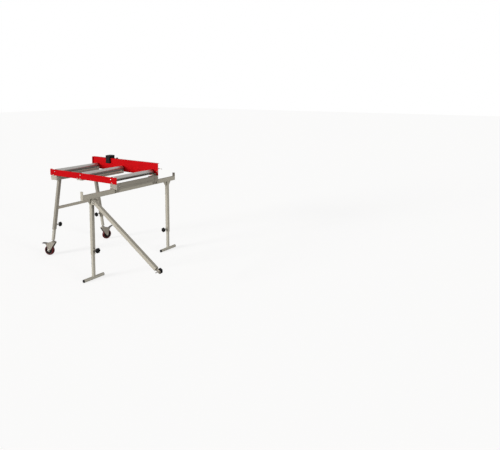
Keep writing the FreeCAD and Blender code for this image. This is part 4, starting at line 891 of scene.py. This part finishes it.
class ROLLERTABLE_OT_caster_legs(PieceOperator, Operator):
    """Splayed telescoping legs at the free end, and the bar between them"""
    bl_idname = "roller_table.caster_legs"
    bl_label = "Caster legs"

    def build(self):
        for name in ENDS:
            self.leg(name)
        self.crossbar()

    def line(self, name):
        """Seat on a leg's axis at the height of its caster, with Z up along the leg."""
        foot = middle(f"{name}_caster_top")
        foot.z = box(f"{name}_caster_top")[1].z
        return seat(foot, -axis(f"{name}_caster_leg_height"))

    def leg(self, name):
        place = self.line(name)
        node = f"{name}_caster_leg_tube"
        low, high = box(node)
        tube = Shape()
        clamped_tube(tube, place, level(place, low.z), level(place, high.z), f"{name}_caster_clamp_turn")
        # The outer tube takes the darker coat: its grey darkened as painted shade.
        dress(node, "welded", tube, finish="dark_paint", bevel=CUT_EDGE)

        node = f"{name}_caster_leg_slider"
        low, high = box(node)
        outer, inner = slider_outlines()
        slider = Shape()
        slider.bar(outer, place, level(place, low.z), level(place, high.z), bore=inner)
        dress(node, "welded", slider, bevel=CUT_EDGE)

    def crossbar(self):
        """Square tube mitred to the inner faces of the two legs."""
        node = "caster_leg_crossbar"
        low, high = box(node)
        place = seat(middle(node), (0, 1, 0), UP)
        ends = []
        for name in ENDS:
            inward = axis(f"{name}_caster_clamp_turn")
            ends.append(plane(place, self.line(name).translation + inward * TUBE / 2, inward))
        side = high.x - low.x
        outer, inner = slider_outlines(side)
        bar = Shape()
        bar.bar(outer, place, ends[0], ends[1], bore=inner)
        seam = rounded(side + 0.4, side + 0.4, 2.8)
        for end in ends:
            bar.bead([place @ Vector((x, y, end(x, y))) for x, y in seam], True)
        dress(node, "welded", bar, bevel=CUT_EDGE)


class ROLLERTABLE_OT_casters(PieceOperator, Operator):
    """Swivel casters: fork, wheel, tread, axle and brake pedal"""
    bl_idname = "roller_table.casters"
    bl_label = "Casters"

    def build(self):
        for name in ENDS:
            self.crown(name)
            keep(f"{name}_caster_fork", 0.6)
            keep(f"{name}_caster_pedal", 1.1)
            place = seat(pivot(f"{name}_wheel_spin"), axis(f"{name}_wheel_spin"), UP)
            self.core(name, place)
            self.tread(name, place)
            self.pins(name, place)
            self.pedal_grip(name)

    def crown(self, name):
        """Plate in the leg's end, nut, neck, domed raceway and riveted kingpin."""
        node = f"{name}_caster_top"
        low, high = box(node)
        centre, depth = (low + high) / 2, high.z - low.z
        place = seat((centre.x, centre.y, high.z), -UP)
        top = Shape()
        top.bar(slider_outlines()[0], place, 0, 4)
        top.hexagon_head(17, 4, 8.5, place, 1, both=True)
        neck, kingpin, rivet = 6.2, 6.0, 9.0
        top.lathe([
            (neck, 3.9), (neck, 12.6), (7.6, 13.6), (11.5, 14.4), (15.5, 15.8), (18.6, 17.8), (20.4, 19.8),
            (21.0, 21.4), (21.0, 22.0), (kingpin, 22.0), (kingpin, depth - 3.1), (rivet, depth - 3.0),
            (rivet, depth - 1.4), (7.6, depth - 0.4), (4.0, depth),
        ], place)
        piece(f"{name}_caster_crown", top, f"{name}_caster_leg", ["zinc", "bolt_steel"], [node], bevel=0.3)

    def core(self, name, place):
        """Hub, web with ribs on both sides, and rim, with a bearing ring in each end of the hub."""
        core = Shape()
        core.lathe(both_sides([
            (5.1, 17.5), (12.0, 17.5), (12.8, 16.7), (13.2, 12.0), (14.2, 10.4), (16.0, 10.0), (27.6, 10.0),
            (29.2, 10.6), (30.2, 12.0), (31.0, 13.6), (32.0, 14.0), (35.4, 14.0), (36.0, 13.4),
        ]), place, 0, 96, loop=True)
        ribs = details().wheel_ribs
        web = 9.0
        for sign in (-1, 1):
            rib = [
                [(r, -width, web * sign), (r, width, web * sign),
                 (r, width * 0.7, rise * sign), (r, -width * 0.7, rise * sign)]
                for r, width, rise in (
                    (12.4, 2.6, 16.0), (17.0, 1.9, 14.4), (24.0, 1.8, 13.2), (30.6, 2.4, 12.9),
                )
            ]
            for number in range(ribs):
                turn = place @ Matrix.Rotation(2 * math.pi * (number + 0.25 * sign) / ribs, 4, "Z")
                core.skin(rib, turn)
        for sign in (-1, 1):
            profile = [(9.0, 17.52), (9.0, 16.9), (7.0, 16.9), (7.0, 17.4), (5.1, 17.4)]
            core.lathe([(r, along * sign) for r, along in profile], place, 1)
        dress(f"{name}_wheel_core", "ribbed", core, "bolt_steel", bevel=0.4)

    def tread(self, name, place):
        """Round-shouldered tread with the seam of its mould round the middle."""
        tread = Shape()
        tread.lathe(both_sides([
            (36.0, 13.6), (37.2, 14.0), (42.5, 14.0), (44.8, 13.5), (47.2, 12.2), (48.9, 10.0),
            (49.7, 7.0), (49.97, 3.5), (50.0, 0.5), (49.8, 0.35),
        ]), place, 0, 144, loop=True)
        dress(f"{name}_wheel_tread", "cast", tread)

    def pins(self, name, axle):
        """Axle bolt with its nut, and the pedal's pin with its rivet heads."""
        shape = Shape()
        flats, cheek = 14.7, 21
        shape.hexagon_head(flats, -cheek - 4, -cheek, axle)
        shape.lathe([(5.0, -cheek - 0.5), (5.0, cheek + 0.5)], axle)
        shape.hexagon_head(flats, cheek, cheek + 3.4, axle, both=True)
        shape.lathe([(5.6, cheek + 3.0), (5.6, cheek + 3.6), (4.6, cheek + 4.0)], axle)
        pedal = seat(pivot(f"{name}_pedal_press"), axis(f"{name}_wheel_spin"), UP)
        for sign in (-1, 1):
            head = [(4.5, 0.0), (4.5, 0.5), (3.9, 1.1), (2.6, 1.5)]
            shape.lathe([(r, (cheek + rise) * sign) for r, rise in head], pedal)
        shape.lathe([(3.0, -cheek - 0.2), (3.0, cheek + 0.2)], pedal)
        dress(f"{name}_caster_pins", "turned", shape)

    def pedal_grip(self, name):
        """Raised bars across the free end of the pedal; the rear pedal is up."""
        hinge = pivot(f"{name}_pedal_press")
        out = hinge - pivot(f"{name}_caster_swivel")
        out.z = 0
        lift = math.radians(22.0 if name == "rear" else 0.0)
        tilt = seat(hinge, UP, out.normalized()) @ Matrix.Rotation(-lift, 4, "Y")
        top, half = 10.0, 12.5
        shape = Shape()
        for reach in (24.0, 31.0, 38.0, 45.0):
            bar = tilt @ Matrix.Translation((reach, 0, top)) @ Matrix.Rotation(math.pi / 2, 4, "X")
            shape.lathe([(0.5, -half), (0.9, 0.5 - half), (0.9, half - 0.5), (0.5, half)], bar, 0, 16)
        piece(f"{name}_pedal_grip", shape, f"{name}_pedal", ["pedal_paint"])


# ---------------------------------------------------------------- guide rail and its legs

class ROLLERTABLE_OT_guide_rail(PieceOperator, Operator):
    """Guide rail that the deck slides on, its end plates and the leg gussets"""
    bl_idname = "roller_table.guide_rail"
    bl_label = "Guide rail"

    def build(self):
        keep("guide_rail_stops", 0.6)
        keep("leg_gussets", 0.5)
        low, high = box("guide_rail")
        centre = (low + high) / 2
        place = seat((centre.x, low.y, centre.z), (0, 1, 0), (1, 0, 0))
        outer, inner = tube_outlines(high.x - low.x, high.z - low.z)
        rail = Shape()
        rail.bar(outer, place, 0, high.y - low.y, bore=inner)
        corner = 3
        for end in (low.y + 0.2, high.y - 0.2):
            rail.bead([(low.x + corner, end, high.z + 0.2), (high.x - corner, end, high.z + 0.2)])
            for x in (low.x, high.x):
                rail.bead([(x, end, low.z + corner), (x, end, high.z - corner)])
        dress("guide_rail", "welded", rail)


class ROLLERTABLE_OT_guide_legs(PieceOperator, Operator):
    """Telescoping legs of the guide rail with their round foot tubes"""
    bl_idname = "roller_table.guide_legs"
    bl_label = "Guide legs"

    def build(self):
        for name in ENDS:
            centre = middle(f"{name}_leg_slider")
            place = seat((centre.x, centre.y, 0), UP)
            self.outer(name, place, centre)
            self.inner(name, place)
            self.foot(name)

    def outer(self, name, place, centre):
        """Outer tube, welded to the rail at its top."""
        node = f"{name}_leg_tube"
        low, high = box(node)
        tube = Shape()
        clamped_tube(tube, place, low.z, high.z, f"{name}_leg_clamp_turn")
        for x in (centre.x - 14.6, centre.x + 14.6):
            tube.bead([(x, centre.y - 13, high.z - 0.6), (x, centre.y + 13, high.z - 0.6)])
        self.gusset_beads(tube, centre, high.z)
        dress(node, "welded", tube, bevel=CUT_EDGE)

    def gusset_beads(self, shape, centre, top):
        """Beads down both sides of the two gussets, along the leg and under the rail."""
        for sign in (-1, 1):
            face = centre.y + sign * TUBE / 2
            for x in (centre.x - 2.3, centre.x + 2.3):
                shape.bead([(x, face + sign * 0.3, top - 46), (x, face + sign * 0.3, top - 3)])
                shape.bead([(x, face + sign * 4, top - 0.3), (x, face + sign * 31, top - 0.3)])

    def inner(self, name, place):
        """Inner tube, its foot cut round to sit on the foot tube, with a weld all round."""
        node = f"{name}_leg_slider"
        top = box(node)[1].z
        outer, bore = slider_outlines(steps=8)

        def saddle(x, y):
            return FOOT_RADIUS + math.sqrt(max(0.0, FOOT_RADIUS * FOOT_RADIUS - x * x))
        shape = Shape()
        shape.bar(divided(outer), place, saddle, top, bore=divided(bore))
        seam = divided(rounded(SLIDER + 0.4, SLIDER + 0.4, SLIDER_CORNER, 8))
        shape.bead([place @ Vector((x, y, saddle(x, y) + 0.4)) for x, y in seam], True)
        dress(node, "welded", shape, bevel=0.3)

    def foot(self, name):
        """Round tube with rolled ends and a ribbed plug in each."""
        node = f"{name}_foot_tube"
        low, high = box(node)
        centre = (low + high) / 2
        radius, length = (high.z - low.z) / 2, high.y - low.y
        end = [(radius - 2, 0.3), (radius - 1.7, 0.0), (radius - 0.4, 0.0), (radius, 0.4)]
        place = seat((centre.x, low.y, centre.z), (0, 1, 0), (1, 0, 0))
        tube = Shape()
        tube.lathe(two_ended(end, length, [length / 2]), place, 0, 64, loop=True)
        dress(node, "cut", tube)

        plugs = Shape()
        for end, outward in ((low.y, -1), (high.y, 1)):
            turn = seat((centre.x, end, centre.z), (0, outward, 0), (1, 0, 0))
            ribs = [(11.9 if step % 2 else 11.4, 1.5 * step - 13.5) for step in range(1, 8)]
            plugs.lathe([
                (0.0, -15), (9.5, -15), (11.2, -13.5), *ribs, (11.95, 0), (radius, 0), (radius, 2.6),
                (radius - 0.5, 3.5), (radius - 1.6, 4.0), (radius - 3.2, 3.9), (radius - 4.2, 2.9),
                (5.0, 2.5), (0.0, 2.6),
            ], turn, 0, 64)
        dress(f"{name}_foot_plugs", "moulded", plugs)


# ---------------------------------------------------------------- brace

class ROLLERTABLE_OT_brace(PieceOperator, Operator):
    """Brace that runs down to the saw, its bracket, pivot bolt, tongue and knob"""
    bl_idname = "roller_table.brace"
    bl_label = "Brace"

    def build(self):
        keep("brace_bracket", 0.6)
        hinge, clamp = pivot("brace_pivot"), pivot("brace_clamp_turn")
        place = seat(hinge, clamp - hinge, (0, 1, 0))
        self.tube(place)
        self.tongue(place)
        self.bolt(seat(hinge, (0, 1, 0), UP))
        knob = Shape()
        turn = seat(clamp, axis("brace_clamp_turn"), (1, 0, 0))
        add_knob(knob, turn, tip=-34.5, start=2.8, length=26, radius=23, stud=4, threaded_to=-2.4)
        knob.lathe([(5.5, -2.5), (5.5, 3.4)], turn, 1)
        dress("brace_knob", "moulded", knob, "bolt_steel")

    def tube(self, place):
        """Square tube, welded to the tongue at its lower end."""
        outer, inner = tube_outlines()
        start, end, tongue_face, half = -12, 838, 2.8, 11
        tube = Shape()
        tube.bar(outer, place, start, end, bore=inner)
        for side in (-tongue_face, tongue_face):
            tube.bead([place @ Vector((side, -half, end)), place @ Vector((side, half, end))])
        dress("brace_tube", "welded", tube, bevel=CUT_EDGE)

    def tongue(self, place):
        """Flat bar with rounded corners and a hole for the knob's stud."""
        root, end, half, thickness, corner = 803.0, 883.0, 12.5, 5, 4.5
        hole, hole_radius = 866.0, 5.55
        corners = [(root, -half)]
        for quarter, side in enumerate((-1, 1)):
            for step in range(9):
                angle = math.pi / 2 * (quarter - 1 + step / 8)
                along = end - corner + corner * math.cos(angle)
                corners.append((along, side * (half - corner) + corner * math.sin(angle)))
        corners.append((root, half))
        centre = Vector((-hole, 0))
        outline = [(-along, across) for along, across in divided(corners, 160)]
        bore = [centre + (Vector(point) - centre).normalized() * hole_radius for point in outline]
        flat = place @ Matrix.Rotation(math.pi / 2, 4, "Y")
        tongue = Shape()
        tongue.bar(outline, flat, -thickness / 2, thickness / 2, bore=bore)
        dress("brace_tongue", "drilled", tongue, bevel=0.4)

    def bolt(self, turn):
        """Pivot bolt through the bracket, with a nut."""
        flats, cheek = 15.5, 18.3
        bolt = Shape()
        bolt.hexagon_head(flats, -cheek - 6, -cheek, turn)
        bolt.lathe([(5.0, -cheek - 0.5), (5.0, cheek + 0.3)], turn)
        bolt.hexagon_head(flats, cheek, cheek + 5, turn, both=True)
        bolt.thread(4.9, 22.0, 24.2, turn, 1.25)
        dress("brace_pivot_bolt", "threaded", bolt)


# ---------------------------------------------------------------- studio

WHITE = (1.0, 1.0, 1.0, 1.0)


def seen_rays(tree):
    """1 for rays that show a surface to the eye, straight, mirrored or through glass."""
    path = tree.nodes.new("ShaderNodeLightPath")
    total = path.outputs["Is Camera Ray"]
    for name in ("Is Glossy Ray", "Is Transmission Ray"):
        larger = add_node(tree, "ShaderNodeMath", {0: total, 1: path.outputs[name]}, operation="MAXIMUM")
        total = larger.outputs[0]
    return total


class ROLLERTABLE_OT_studio(Operator):
    """Floor, backdrop light, lamps and camera"""
    bl_idname = "roller_table.studio"
    bl_label = "Studio"
    bl_options = {"REGISTER", "UNDO"}

    def execute(self, context):
        studio = context.scene.roller_table_studio
        context.scene.view_settings.view_transform = "Standard"
        self.world(context, studio)
        self.floor(context)
        self.lamp(context, "key_lamp", studio.key, (-0.4, -0.9, 0.18), 18)
        self.lamp(context, "fill_lamp", studio.fill, (1.0, -0.1, 0.12), 14)
        self.camera(context, studio)
        return {"FINISHED"}

    def world(self, context, studio):
        """White where it is seen or mirrored, and the sky's strength where it lights."""
        world = bpy.data.worlds.new("studio_world")
        context.scene.world = world
        world.use_nodes = True
        tree = world.node_tree
        tree.nodes.clear()
        sky = {"Color": (1.0, 0.99, 0.975, 1.0), "Strength": studio.sky}
        light = add_node(tree, "ShaderNodeBackground", sky).outputs[0]
        seen = add_node(tree, "ShaderNodeBackground", {"Color": WHITE, "Strength": 1.0}).outputs[0]
        mix = add_node(tree, "ShaderNodeMixShader", {0: seen_rays(tree), 1: light, 2: seen}).outputs[0]
        add_node(tree, "ShaderNodeOutputWorld", {"Surface": mix})

    def floor(self, context):
        """Matte floor just below the feet, which glows for the camera's own rays only."""
        size, sunk, grey, brightness = 30.0, 0.0005, 0.4, 0.74
        mesh = bmesh.new()
        bmesh.ops.create_grid(mesh, x_segments=8, y_segments=8, size=size)
        data = bpy.data.meshes.new("studio_floor")
        mesh.to_mesh(data)
        mesh.free()
        floor = bpy.data.objects.new("studio_floor", data)
        floor.location.z = -sunk
        context.scene.collection.objects.link(floor)
        paint = bpy.data.materials.new("studio_floor_finish")
        paint.use_nodes = True
        tree = paint.node_tree
        tree.nodes.clear()
        matte = add_node(tree, "ShaderNodeBsdfDiffuse", {"Color": (grey, grey, grey, 1.0)}).outputs[0]
        straight = tree.nodes.new("ShaderNodeLightPath").outputs["Is Camera Ray"]
        strength = add_node(tree, "ShaderNodeMath", {0: straight, 1: brightness}, operation="MULTIPLY")
        shine = {"Color": WHITE, "Strength": strength.outputs[0]}
        glow = add_node(tree, "ShaderNodeEmission", shine).outputs[0]
        both = add_node(tree, "ShaderNodeAddShader", {0: matte, 1: glow}).outputs[0]
        add_node(tree, "ShaderNodeOutputMaterial", {"Surface": both})
        data.materials.append(paint)

    def lamp(self, context, name, strength, towards, spread):
        """A distant lamp that shines from one direction, its spread in degrees."""
        lamp = bpy.data.lights.new(name, "SUN")
        lamp.energy = strength
        lamp.angle = math.radians(spread)
        lamp.color = (1.0, 0.985, 0.965)
        thing = bpy.data.objects.new(name, lamp)
        thing.rotation_euler = Vector(towards).to_track_quat("Z", "Y").to_euler()
        context.scene.collection.objects.link(thing)

    def camera(self, context, studio):
        data = bpy.data.cameras.new("studio_camera")
        data.lens = studio.lens
        data.sensor_width = 36.0
        data.shift_x = -0.0007
        data.shift_y = -0.1876
        data.clip_end = 200.0
        thing = bpy.data.objects.new("studio_camera", data)
        thing.location = studio.camera
        thing.rotation_euler = (math.pi / 2 - studio.tilt, 0.0, studio.heading)
        context.scene.collection.objects.link(thing)
        context.scene.camera = thing


# ---------------------------------------------------------------- panel and registration

PIECES = (
    ROLLERTABLE_OT_sheet_frame,
    ROLLERTABLE_OT_rollers,
    ROLLERTABLE_OT_fasteners,
    ROLLERTABLE_OT_locating_pins,
    ROLLERTABLE_OT_length_stop,
    ROLLERTABLE_OT_clamp_knobs,
    ROLLERTABLE_OT_caster_legs,
    ROLLERTABLE_OT_casters,
    ROLLERTABLE_OT_guide_rail,
    ROLLERTABLE_OT_guide_legs,
    ROLLERTABLE_OT_brace,
    ROLLERTABLE_OT_studio,
)


class ROLLERTABLE_PT_panel(Panel):
    """Lists the pieces of the roller table and their settings"""
    bl_idname = "ROLLERTABLE_PT_panel"
    bl_label = "Roller table"
    bl_space_type = "VIEW_3D"
    bl_region_type = "UI"
    bl_category = "Roller table"

    def draw(self, context):
        column = self.layout.column(align=True)
        for operator in PIECES:
            column.operator(operator.bl_idname)
        for group in ("colours", "details", "studio"):
            settings = getattr(context.scene, "roller_table_" + group)
            part = self.layout.box()
            part.label(text=group.capitalize())
            for name in settings.__annotations__:
                part.prop(settings, name)


GROUPS = (
    ("roller_table_colours", RollerTableColours),
    ("roller_table_details", RollerTableDetails),
    ("roller_table_studio", RollerTableStudio),
)


def register():
    for name, group in GROUPS:
        bpy.utils.register_class(group)
        setattr(bpy.types.Scene, name, PointerProperty(type=group))
    for operator in PIECES:
        bpy.utils.register_class(operator)
    bpy.utils.register_class(ROLLERTABLE_PT_panel)


def unregister():
    bpy.utils.unregister_class(ROLLERTABLE_PT_panel)
    for operator in reversed(PIECES):
        bpy.utils.unregister_class(operator)
    for name, group in reversed(GROUPS):
        delattr(bpy.types.Scene, name)
        bpy.utils.unregister_class(group)


def main():
    register()
    for operator in PIECES:
        group, name = operator.bl_idname.split(".")
        getattr(getattr(bpy.ops, group), name)()
    bpy.context.view_layer.update()


if __name__ == "__main__":
    main()
